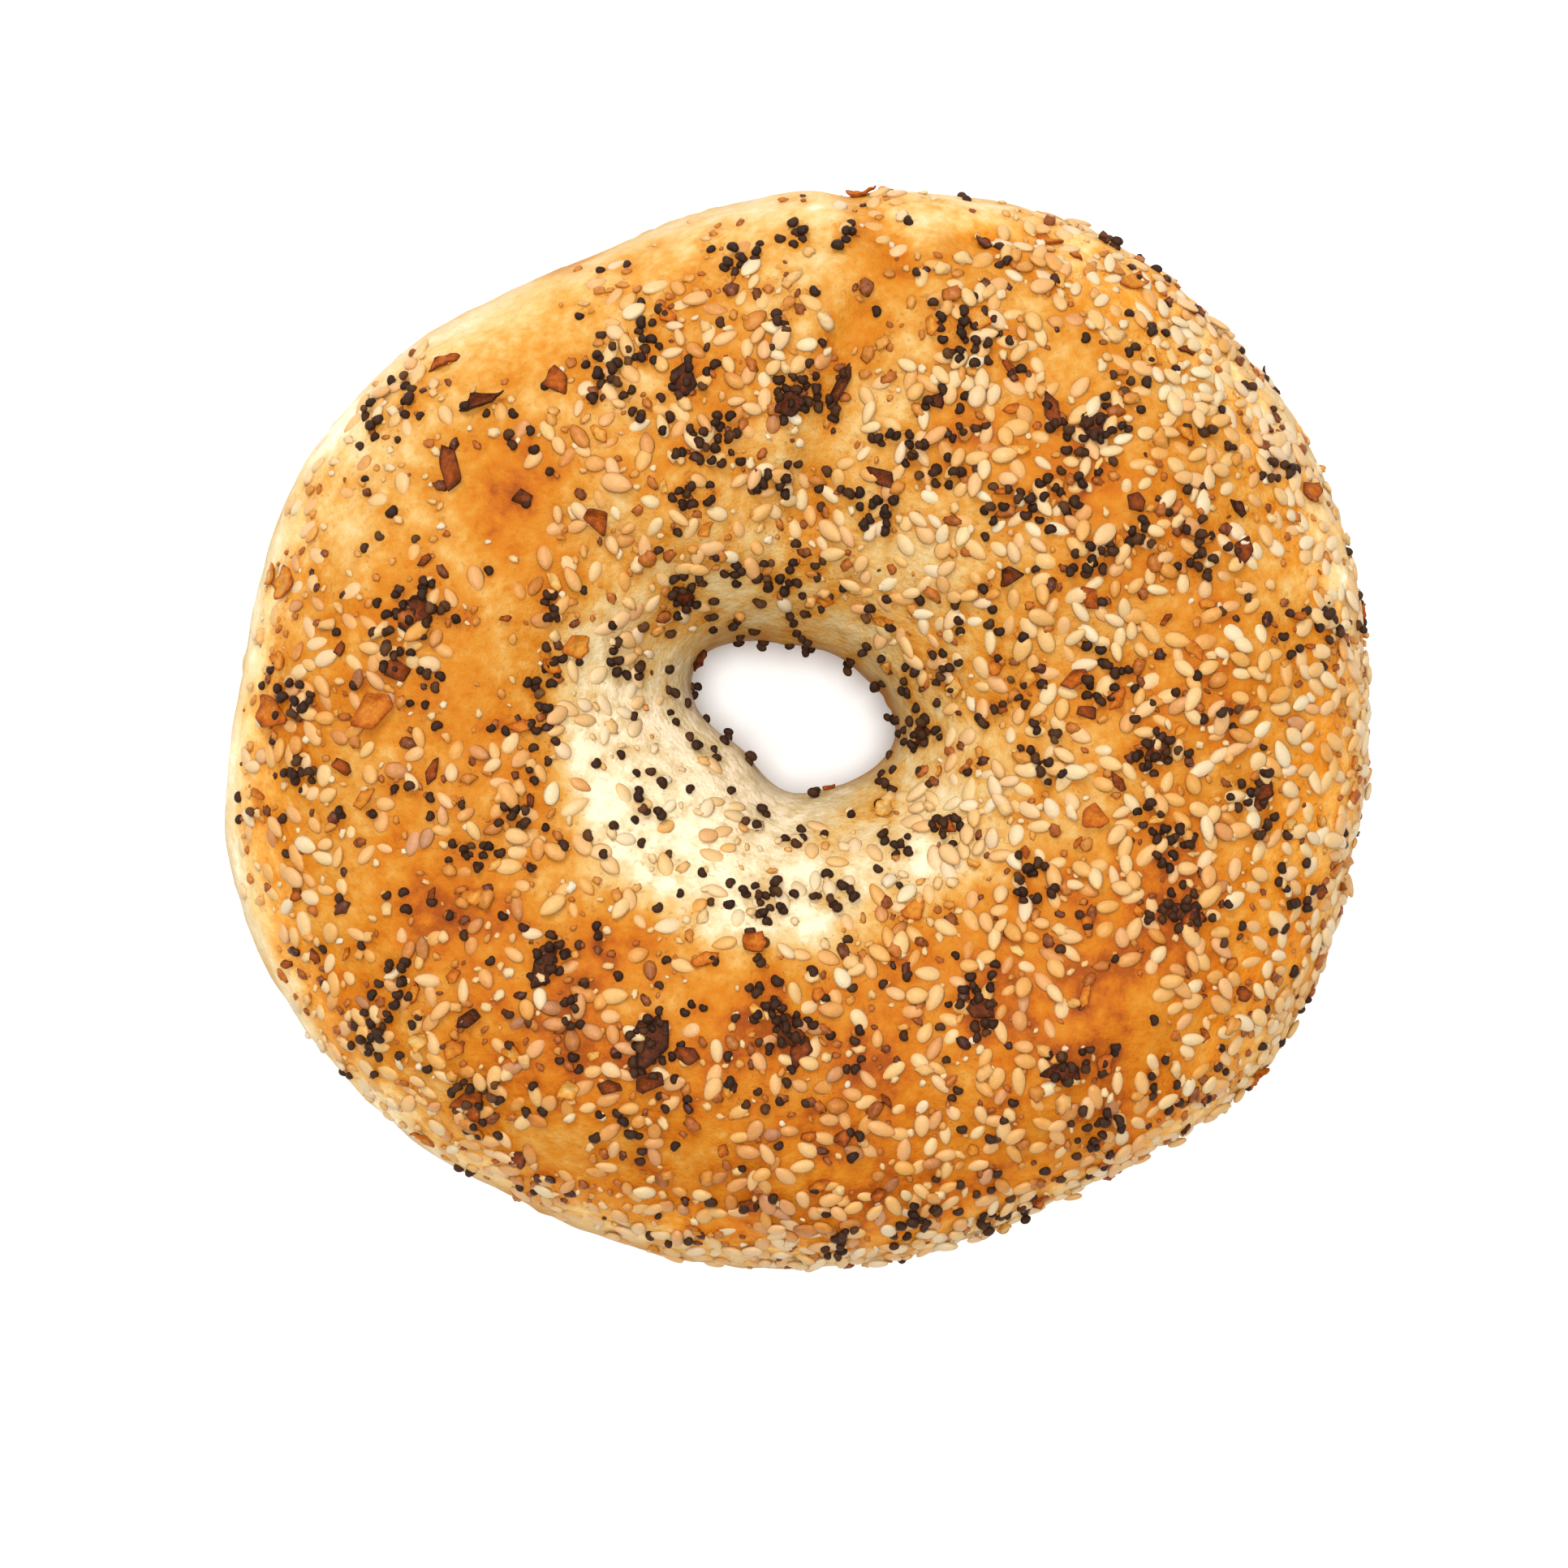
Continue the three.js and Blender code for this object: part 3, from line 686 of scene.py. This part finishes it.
class Shader:
    """A procedural material, built node by node."""

    def __init__(self, name, **sockets):
        self.material = bpy.data.materials.new(name)
        self.material.use_nodes = True
        self.tree = self.material.node_tree
        self.surface = self.tree.nodes["Principled BSDF"]
        for key, value in sockets.items():
            self.surface.inputs[key.replace("_", " ")].default_value = value
        self.place = self.node("ShaderNodeTexCoord").outputs["Object"]

    def node(self, kind, **settings):
        made = self.tree.nodes.new(kind)
        for key, value in settings.items():
            setattr(made, key, value)
        return made

    def join(self, value, socket):
        """Sets a socket to a number or colour, or links another node's output to it."""
        if isinstance(value, (int, float, tuple)):
            socket.default_value = value
        else:
            self.tree.links.new(value, socket)

    def attribute(self, name):
        return self.node("ShaderNodeAttribute", attribute_name=name).outputs["Fac"]

    def noise(self, size, detail, roughness):
        """Noise with features of a size in millimetres."""
        made = self.node("ShaderNodeTexNoise")
        made.inputs["Scale"].default_value = 1 / (size * MM)
        made.inputs["Detail"].default_value = detail
        made.inputs["Roughness"].default_value = roughness
        self.join(self.place, made.inputs["Vector"])
        return made.outputs["Fac"]

    def cells(self, size, feature="F1"):
        made = self.node("ShaderNodeTexVoronoi", feature=feature)
        made.inputs["Scale"].default_value = 1 / (size * MM)
        self.join(self.place, made.inputs["Vector"])
        return made.outputs["Distance"]

    def maths(self, operation, *values, clamp=False):
        made = self.node("ShaderNodeMath", operation=operation, use_clamp=clamp)
        for socket, value in zip(made.inputs, values):
            self.join(value, socket)
        return made.outputs[0]

    def swing(self, value, middle, reach):
        """Turns noise round 0.5 into middle give or take reach."""
        return self.maths("MULTIPLY_ADD", self.maths("SUBTRACT", value, 0.5), 2 * reach, middle)

    def total(self, *values):
        """The sum of the values, kept between 0 and 1."""
        result = values[0]
        for value in values[1:]:
            result = self.maths("ADD", result, value)
        return self.maths("ADD", result, 0.0, clamp=True)

    def ramp(self, value, stops):
        made = self.node("ShaderNodeValToRGB")
        elements = made.color_ramp.elements
        while len(elements) < len(stops):
            elements.new(0.5)
        for element, (position, colour) in zip(elements, stops):
            element.position = position
            element.color = colour
        self.join(value, made.inputs["Fac"])
        return made.outputs["Color"]

    def mix(self, share, first, second, blend="MIX"):
        made = self.node("ShaderNodeMix", data_type="RGBA", blend_type=blend)
        sockets = made.inputs[0], made.inputs[6], made.inputs[7]
        for socket, value in zip(sockets, (share, first, second)):
            self.join(value, socket)
        return made.outputs[2]

    def colour(self, value):
        self.join(value, self.surface.inputs["Base Color"])

    def roughness(self, value):
        self.join(value, self.surface.inputs["Roughness"])

    def bump(self, height, depth):
        """Relief whose full height is depth in millimetres."""
        made = self.node("ShaderNodeBump")
        made.inputs["Strength"].default_value = 1.0
        made.inputs["Distance"].default_value = depth * MM
        self.join(height, made.inputs["Height"])
        self.join(made.outputs["Normal"], self.surface.inputs["Normal"])


CRUST_TONES = [
    (0.00, (0.70, 0.57, 0.39, 1.0)),
    (0.16, lit(255, 228, 174)),
    (0.32, lit(250, 205, 128)),
    (0.48, lit(241, 174, 78)),
    (0.62, lit(233, 150, 42)),
    (0.76, lit(227, 133, 20)),
    (0.88, lit(216, 115, 14)),
    (1.00, lit(186, 90, 14)),
]
# SPECK_COLOUR is brown specks in the crust. SHADE_COLOUR is painted shade, multiplied into the crust
# where the topping lies close.
SPECK_COLOUR, SHADE_COLOUR = lit(176, 96, 26), (0.8, 0.66, 0.5, 1.0)
# A noise is (size of its features, detail, roughness).
CRUST_FINE, CRUST_BROAD = (1.3, 5, 0.6), (4.5, 4, 0.55)
UNEVEN_FINE, UNEVEN_BROAD, LESS_WHERE_BARE = 0.32, 0.24, -0.55
# Where the topping lies close, the crust is browned and darkened: partly browning round the seeds,
# partly painted shade between them. Brown specks grow denser there, adding to the painted shade.
CROWD_TOAST_AND_SHADE, CROWD_SHADE, CRUST_GLOSS = 0.22, 0.58, 0.1
SPECKS, SPECK_LEVEL, SPECKS_IN_CROWD, LEAST_SPECKS = (0.6, 2, 0.5), 0.64, 0.5, 0.15
PORE_SIZE, PORE_SHARE, GRAIN, CRUST_RELIEF = 0.9, 0.45, (0.5, 4, 0.6), 0.18


def crust_material():
    shader = Shader("crust", Specular_IOR_Level=CRUST_GLOSS)
    crowd = shader.attribute("crowd")
    fine = shader.noise(*CRUST_FINE)
    broad = shader.noise(*CRUST_BROAD)
    uneven = shader.maths(
        "ADD", shader.swing(fine, 0, UNEVEN_FINE), shader.swing(broad, 0, UNEVEN_BROAD)
    )
    calmer = shader.maths("MULTIPLY_ADD", shader.attribute("bare"), LESS_WHERE_BARE, 1.0)
    # Close topping browns the crust, partly as painted shade between the seeds.
    toast = shader.total(
        shader.attribute("toast"),
        shader.maths("MULTIPLY", uneven, calmer),
        shader.maths("MULTIPLY", crowd, CROWD_TOAST_AND_SHADE),
    )
    colour = shader.ramp(toast, CRUST_TONES)
    # The rim is painted paler: partly pale dough, partly painted light.
    colour = shader.mix(shader.attribute("rim"), colour, (RIM_PALE_AND_LIT,) * 3 + (1.0,), "MULTIPLY")
    # Brown specks, denser where the topping lies close, where they add to the painted shade.
    specks = shader.maths("GREATER_THAN", shader.noise(*SPECKS), SPECK_LEVEL)
    strength = shader.maths("MULTIPLY_ADD", crowd, SPECKS_IN_CROWD, LEAST_SPECKS)
    colour = shader.mix(shader.maths("MULTIPLY", specks, strength), colour, SPECK_COLOUR)
    # Painted shade between the seeds, where the topping lies close.
    shade = shader.maths("MULTIPLY", crowd, CROWD_SHADE)
    shader.colour(shader.mix(shade, colour, SHADE_COLOUR, "MULTIPLY"))
    shader.roughness(shader.swing(broad, middle=0.6, reach=0.14))
    pores = shader.maths("MULTIPLY", shader.cells(PORE_SIZE, "SMOOTH_F1"), PORE_SHARE)
    shader.bump(shader.maths("ADD", pores, shader.noise(*GRAIN)), CRUST_RELIEF)
    return shader.material


SESAME_TONES = [
    (0.00, lit(255, 232, 188)),
    (0.22, lit(252, 213, 150)),
    (0.42, lit(248, 192, 112)),
    (0.62, lit(240, 168, 76)),
    (0.80, lit(218, 132, 40)),
    (1.00, lit(150, 78, 24)),
]
SESAME_BLUSH, BLUSH_STRENGTH = lit(250, 196, 150), 0.5
TIP_POWER, TIP_DARKER = 5, 0.2


def sesame_material():
    shader = Shader("sesame_seed", Specular_IOR_Level=0.22)
    fine = shader.noise(size=0.6, detail=3, roughness=0.55)
    tip = shader.maths("POWER", shader.attribute("along"), TIP_POWER)
    tip = shader.maths("MULTIPLY", tip, TIP_DARKER)
    tone = shader.total(shader.attribute("tone"), tip, shader.swing(fine, middle=0, reach=0.14))
    blush = shader.maths("MULTIPLY", shader.attribute("blush"), BLUSH_STRENGTH)
    shader.colour(shader.mix(blush, shader.ramp(tone, SESAME_TONES), SESAME_BLUSH))
    shader.roughness(shader.swing(fine, middle=0.46, reach=0.12))
    shader.bump(shader.noise(size=0.25, detail=3, roughness=0.5), depth=0.05)
    return shader.material


def grained(name, tones, gloss, grain, uneven, roughness):
    """A material with the tone of each seed or flake, made uneven by its grain."""
    shader = Shader(name, Specular_IOR_Level=gloss)
    fine = shader.noise(*grain)
    tone = shader.total(shader.attribute("tone"), shader.swing(fine, 0, uneven))
    shader.colour(shader.ramp(tone, tones))
    shader.roughness(shader.swing(fine, *roughness))
    return shader, fine


POPPY_TONES = [
    (0.0, lit(52, 27, 12)),
    (0.5, lit(80, 46, 20)),
    (0.8, lit(110, 68, 32)),
    (1.0, lit(150, 102, 52)),
]


def poppy_material():
    shader, _ = grained(
        "poppy_seed", POPPY_TONES,
        gloss=0.16, grain=(0.3, 2, 0.5), uneven=0.16, roughness=(0.62, 0.14),
    )
    shader.bump(shader.cells(size=0.16), depth=0.05)
    return shader.material


ONION_TONES = [
    (0.00, lit(250, 210, 130)),
    (0.25, lit(236, 154, 48)),
    (0.45, lit(212, 108, 20)),
    (0.62, lit(168, 76, 12)),
    (0.80, lit(112, 48, 8)),
    (1.00, lit(58, 26, 8)),
]


def onion_material():
    shader, streaks = grained(
        "dried_onion", ONION_TONES,
        gloss=0.12, grain=(0.7, 4, 0.65), uneven=0.3, roughness=(0.56, 0.15),
    )
    shader.bump(streaks, depth=0.3)
    return shader.material


CRUMB_TONES = [
    (0.00, lit(254, 232, 196)),
    (0.30, lit(249, 204, 136)),
    (0.55, lit(234, 158, 66)),
    (0.75, lit(196, 106, 36)),
    (0.90, lit(124, 62, 28)),
    (1.00, lit(70, 34, 20)),
]


def crumb_material():
    shader, grains = grained(
        "dried_garlic", CRUMB_TONES,
        gloss=0.2, grain=(0.5, 3, 0.55), uneven=0.16, roughness=(0.5, 0.12),
    )
    shader.bump(grains, depth=0.1)
    return shader.material


# Pieces. Each of the four toppings returns where its bits lie.

def make_crust(topping_places):
    rows, columns = STEPS_ROUND_RING, STEPS_ROUND_SECTION
    i, j = (grid.ravel() for grid in np.meshgrid(range(rows), range(columns), indexing="ij"))
    points, _ = crust_surface(i * FULL_TURN / rows, j * FULL_TURN / columns)
    next_i, next_j = (i + 1) % rows, (j + 1) % columns
    corners = (i, j), (next_i, j), (next_i, next_j), (i, next_j)
    faces = np.stack([row * columns + column for row, column in corners], axis=1)
    crust = mesh_piece(
        "bagel_crust", points, faces, crust_material(), "crust",
        toast=toasting(points), rim=rim_share(points), bare=1 - topped(points),
        crowd=crowding(points, topping_places),
    )
    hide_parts("bagel")


def onion_share(points):
    return topped(points) * bareness(points, BARE) * off_pale_dough(points, ONION_ON_PALE)


def make_onion():
    singles = np.array(ONION_SINGLES)
    angle, turn = spots_under(singles[:, 0], singles[:, 1])
    taken = rolled_form(angle, turn)
    more_angle, more_turn = scattered(ONION_DRAWS, onion_share)
    kept = keep_apart(rolled_form(more_angle, more_turn), ONION_GAP, taken, ONION_COUNT)
    angle = np.concatenate([angle, more_angle[kept]])
    turn = np.concatenate([turn, more_turn[kept]])

    count, extra = len(angle), len(kept)
    more_lengths = random.uniform(*ONION_LENGTHS, extra)
    lengths = np.concatenate([singles[:, 2], more_lengths])
    widths = np.concatenate([singles[:, 3], more_lengths * random.uniform(*ONION_WIDTHS, extra)])
    headings = np.concatenate([np.radians(singles[:, 4]), random.uniform(0, FULL_TURN, extra)])
    tones = np.concatenate([singles[:, 5], random.beta(*ONION_TONE_SPREAD, extra)])

    shapes, edges = zip(*(chip_shape(length, width) for length, width in zip(lengths, widths)))
    places, normals = crust_surface(angle, turn)
    places = places + ONION_LIFT * normals
    leans = random.uniform(-ONION_LEAN, ONION_LEAN, count)
    points, faces = laid(
        np.array(shapes), chip_faces(), places, normals, headings, leans, np.ones(count)
    )
    tone = tones[:, None] + ONION_EDGE * (np.array(edges) ** 3 - ONION_EDGE_FROM)
    mesh_piece("onion_flakes", points, faces, onion_material(), "dried_onion", tone=tone.ravel())
    return places


def sesame_share(points):
    clumps = smooth_step(*CLUMP_LEVEL, fractal(points, *CLUMP_SIZE_OCTAVES))
    clumps = at_least(BETWEEN_CLUMPS, clumps)
    richer = smooth_step(*RICHER_SIDE, points[:, 0] - RICHER_SLANT * points[:, 1])
    richer = at_least(POORER_SHARE, richer)
    scarce = at_least(SESAME_WHERE_FEW, bareness(points, FEW_SESAME))
    rim = smooth_step(*SESAME_OFF_RIM, from_hole_rim(points))
    return topped(points) * bareness(points, BARE) * richer * scarce * rim * clumps


def make_sesame(taken):
    shape, along = sesame_shape()
    angle, turn = scattered(SEED_DRAWS, sesame_share)
    kept = keep_apart(rolled_form(angle, turn), SESAME_GAP, taken, SESAME_COUNT)
    places, normals = crust_surface(angle[kept], turn[kept])
    count = len(places)
    headings = random.uniform(0, FULL_TURN, count)
    sizes = seed_sizes(count)
    layers = np.minimum(layer_of(places, SESAME_TOUCH), MOST_LAYERS)
    leans = random.normal(0, SESAME_LEAN, count) + LEAN_ON_SEED * layers
    lifts = random.uniform(*SESAME_LIFT, count) + SESAME_LAYER * layers
    places = places + normals * lifts[:, None]
    shapes = shape[None] * random.uniform(*SESAME_STRETCH, (count, 3))[:, None, :]
    points, faces = laid(
        shapes, seed_faces(SESAME_RINGS, SESAME_SIDES), places, normals, headings, leans, sizes
    )
    tones = SESAME_TOASTED * toasting(places)
    tones += random.normal(SESAME_TONE, SESAME_TONE_SPREAD, count)
    paler = PALER_ON_RIGHT * smooth_step(*RIGHT_SIDE, places[:, 0])
    # Sesame on the rim is paler too, with the rim's painted light.
    tones -= paler + PALER_ON_RIM * rim_share(places)
    tones -= PALE_SEEDS_BY * (random.uniform(0, 1, count) < PALE_SEEDS)
    mesh_piece(
        "sesame_seeds", points, faces, sesame_material(), "sesame_seed",
        tone=np.repeat(tones.clip(0, DARKEST_SESAME), len(shape)), along=np.tile(along, count),
        blush=np.repeat(random.beta(*BLUSH_SPREAD, count), len(shape)),
    )
    return places


def poppy_share(points):
    bare = at_least(POPPY_WHERE_BARE, bareness(points, BARE))
    thinner = 1 - FEWER_ON_OUTER_RIM * rim_share(points)
    thinner = thinner * off_pale_dough(points, POPPY_ON_PALE)
    return bare * thinner * topped(points) * smooth_step(*POPPY_OFF_RIM, from_hole_rim(points))


def heap_spots():
    """Angles and turns of the poppy seeds in heaps, which lie on the upper side alone."""
    x, y = [], []
    for centre_x, centre_y, spread, many in POPPY_HEAPS:
        x.append(centre_x + random.normal(0, spread * HEAP_SPREAD, HEAP_TRIES * many))
        y.append(centre_y + random.normal(0, spread * HEAP_SPREAD, HEAP_TRIES * many))
    angle, turn = spots_under(np.concatenate(x), np.concatenate(y))
    on_top = turn > LOWEST_HEAP_TURN
    return angle[on_top], turn[on_top]


def group_spots():
    """Angles and turns of the poppy seeds that lie singly or a few together."""
    angle, turn = scattered(GROUP_TRIES * POPPY_GROUPS, poppy_share)
    angle, turn = angle[:POPPY_GROUPS], turn[:POPPY_GROUPS]
    sizes = random.choice(POPPY_GROUP_SIZES, len(angle))
    angle, turn = np.repeat(angle, sizes), np.repeat(turn, sizes)
    reach = np.linalg.norm(rolled_form(angle, turn)[:, :2], axis=1)
    angle = angle + random.normal(0, POPPY_SPREAD, len(angle)) / reach
    turn = turn + random.normal(0, POPPY_SPREAD, len(angle)) / SECTION_REACH
    return angle, turn


def make_poppy(sesame_places):
    shape, shape_faces = poppy_shape()
    heap_angle, heap_turn = heap_spots()
    group_angle, group_turn = group_spots()
    angle = np.concatenate([heap_angle, group_angle])
    turn = np.concatenate([heap_turn, group_turn])
    plain = rolled_form(angle, turn)
    clear = nearest_gap(plain, sesame_places) > POPPY_OFF_SEED
    heaped = np.arange(len(plain)) < len(heap_angle)
    on_seeds = np.where(heaped, HEAPED_ON_SEEDS, POPPIES_ON_SEEDS)
    clear |= random.uniform(0, 1, len(plain)) < on_seeds
    angle, turn, plain = angle[clear], turn[clear], plain[clear]
    lower = keep_apart(plain, POPPY_GAP)
    left = np.setdiff1d(np.arange(len(angle)), lower)
    upper = left[keep_apart(plain[left], POPPY_GAP * UPPER_GAP)]
    raised = np.repeat([0.0, POPPY_LAYER], [len(lower), len(upper)])
    kept = np.concatenate([lower, upper])
    places, normals = crust_surface(angle[kept], turn[kept])
    count = len(places)
    on_seed = smooth_step(*ON_SEED_WITHIN, nearest_gap(places, sesame_places))
    lifts = POPPY_LIFT + POPPY_ON_SEED * on_seed + raised
    places = places + normals * lifts[:, None]
    points, faces = laid(
        np.repeat(shape[None], count, axis=0), shape_faces, places, normals,
        random.uniform(0, FULL_TURN, count), random.normal(0, POPPY_LEAN, count),
        seed_sizes(count),
    )
    mesh_piece(
        "poppy_seeds", points, faces, poppy_material(), "poppy_seed",
        tone=np.repeat(random.beta(*POPPY_TONE_SPREAD, count), len(shape)),
    )
    return places


def crumb_share(points):
    bare = at_least(CRUMBS_WHERE_BARE, bareness(points, BARE))
    rim = smooth_step(*CRUMBS_OFF_RIM, from_hole_rim(points))
    return topped(points) * bare * rim * off_pale_dough(points, CRUMBS_ON_PALE)


def make_crumbs(taken):
    base, base_faces = ball()
    angle, turn = scattered(SEED_DRAWS, crumb_share)
    kept = keep_apart(rolled_form(angle, turn), CRUMB_GAP, taken, CRUMB_COUNT)
    places, normals = crust_surface(angle[kept], turn[kept])
    count = len(places)
    sizes = random.lognormal(math.log(CRUMB_RADIUS), CRUMB_SPREAD, count).clip(*CRUMB_RADII)
    rough = random.uniform(-CRUMB_ROUGHNESS, CRUMB_ROUGHNESS, (count, len(base), 1))
    shapes = base[None] * (1 + rough)
    shapes = shapes * random.uniform(CRUMB_LEAST, CRUMB_MOST, (count, 3))[:, None, :]
    places = places + normals * (CRUMB_LIFT * sizes)[:, None]
    points, faces = laid(
        shapes, base_faces, places, normals, random.uniform(0, FULL_TURN, count),
        random.normal(0, CRUMB_LEAN, count), sizes,
    )
    dark_share = DARK_CRUMBS * smooth_step(*DARK_WHERE_TOASTED, toasting(places))
    dark = random.uniform(0, 1, count) < dark_share
    dark_tones = random.normal(DARK_CRUMB, CRUMB_TONE_SPREAD, count)
    pale_tones = random.normal(PALE_CRUMB, CRUMB_TONE_SPREAD, count)
    tones = np.where(dark, dark_tones, pale_tones)
    mesh_piece(
        "garlic_granules", points, faces, crumb_material(), "sesame_seed",
        tone=np.repeat(tones.clip(0, 1), len(base)),
    )
    return places


# Stage, lights and camera

def make_stage():
    mesh = bpy.data.meshes.new("floor")
    half = FLOOR_SIDE / 2
    corners = [(-half, -half, 0), (half, -half, 0), (half, half, 0), (-half, half, 0)]
    mesh.from_pydata(corners, [], [(0, 1, 2, 3)])
    shader = Shader("floor_paint", Roughness=FLOOR_ROUGHNESS)
    shader.colour(shader.mix(shader.noise(*FLOOR_NOISE), FLOOR_COLOUR, FLOOR_DARKER))
    mesh.materials.append(shader.material)
    floor = bpy.data.objects.new("floor", mesh)
    floor.location.z = -FLOOR_DROP * MM
    bpy.context.scene.collection.objects.link(floor)


def make_lights():
    world = bpy.data.worlds.new("studio")
    world.use_nodes = True
    background = world.node_tree.nodes["Background"]
    background.inputs["Color"].default_value = WORLD_COLOUR
    background.inputs["Strength"].default_value = WORLD_STRENGTH
    bpy.context.scene.world = world
    for name, brightness, direction, height, distance, width in LAMPS:
        azimuth, elevation = math.radians(direction), math.radians(height)
        lamp = bpy.data.lights.new(name, "AREA")
        lamp.shape = "DISK"
        lamp.size = width
        lamp.energy = brightness * (math.pi * distance) ** 2 / math.sin(elevation)
        made = bpy.data.objects.new(name, lamp)
        level = math.cos(elevation)
        towards = Vector((math.cos(azimuth) * level, math.sin(azimuth) * level, math.sin(elevation)))
        made.location = towards * distance
        made.rotation_euler = towards.to_track_quat("Z", "Y").to_euler()
        bpy.context.scene.collection.objects.link(made)


def make_camera():
    data = bpy.data.cameras.new("camera")
    data.lens, data.sensor_width = LENS, SENSOR
    camera = bpy.data.objects.new("camera", data)
    height = GIRTH_LEVEL + FRAME_WIDTH * LENS / SENSOR
    camera.location = Vector((FRAME_X, FRAME_Y, height)) * MM
    bpy.context.scene.collection.objects.link(camera)
    bpy.context.scene.camera = camera


make_camera()
make_lights()
make_stage()
onion_places = make_onion()
sesame_places = make_sesame(onion_places)
poppy_places = make_poppy(sesame_places)
crumb_places = make_crumbs(np.concatenate([sesame_places, onion_places]))
make_crust(np.concatenate([onion_places, sesame_places, poppy_places, crumb_places]))

view = bpy.context.scene.view_settings
view.view_transform = "Standard"
view.look = "None"
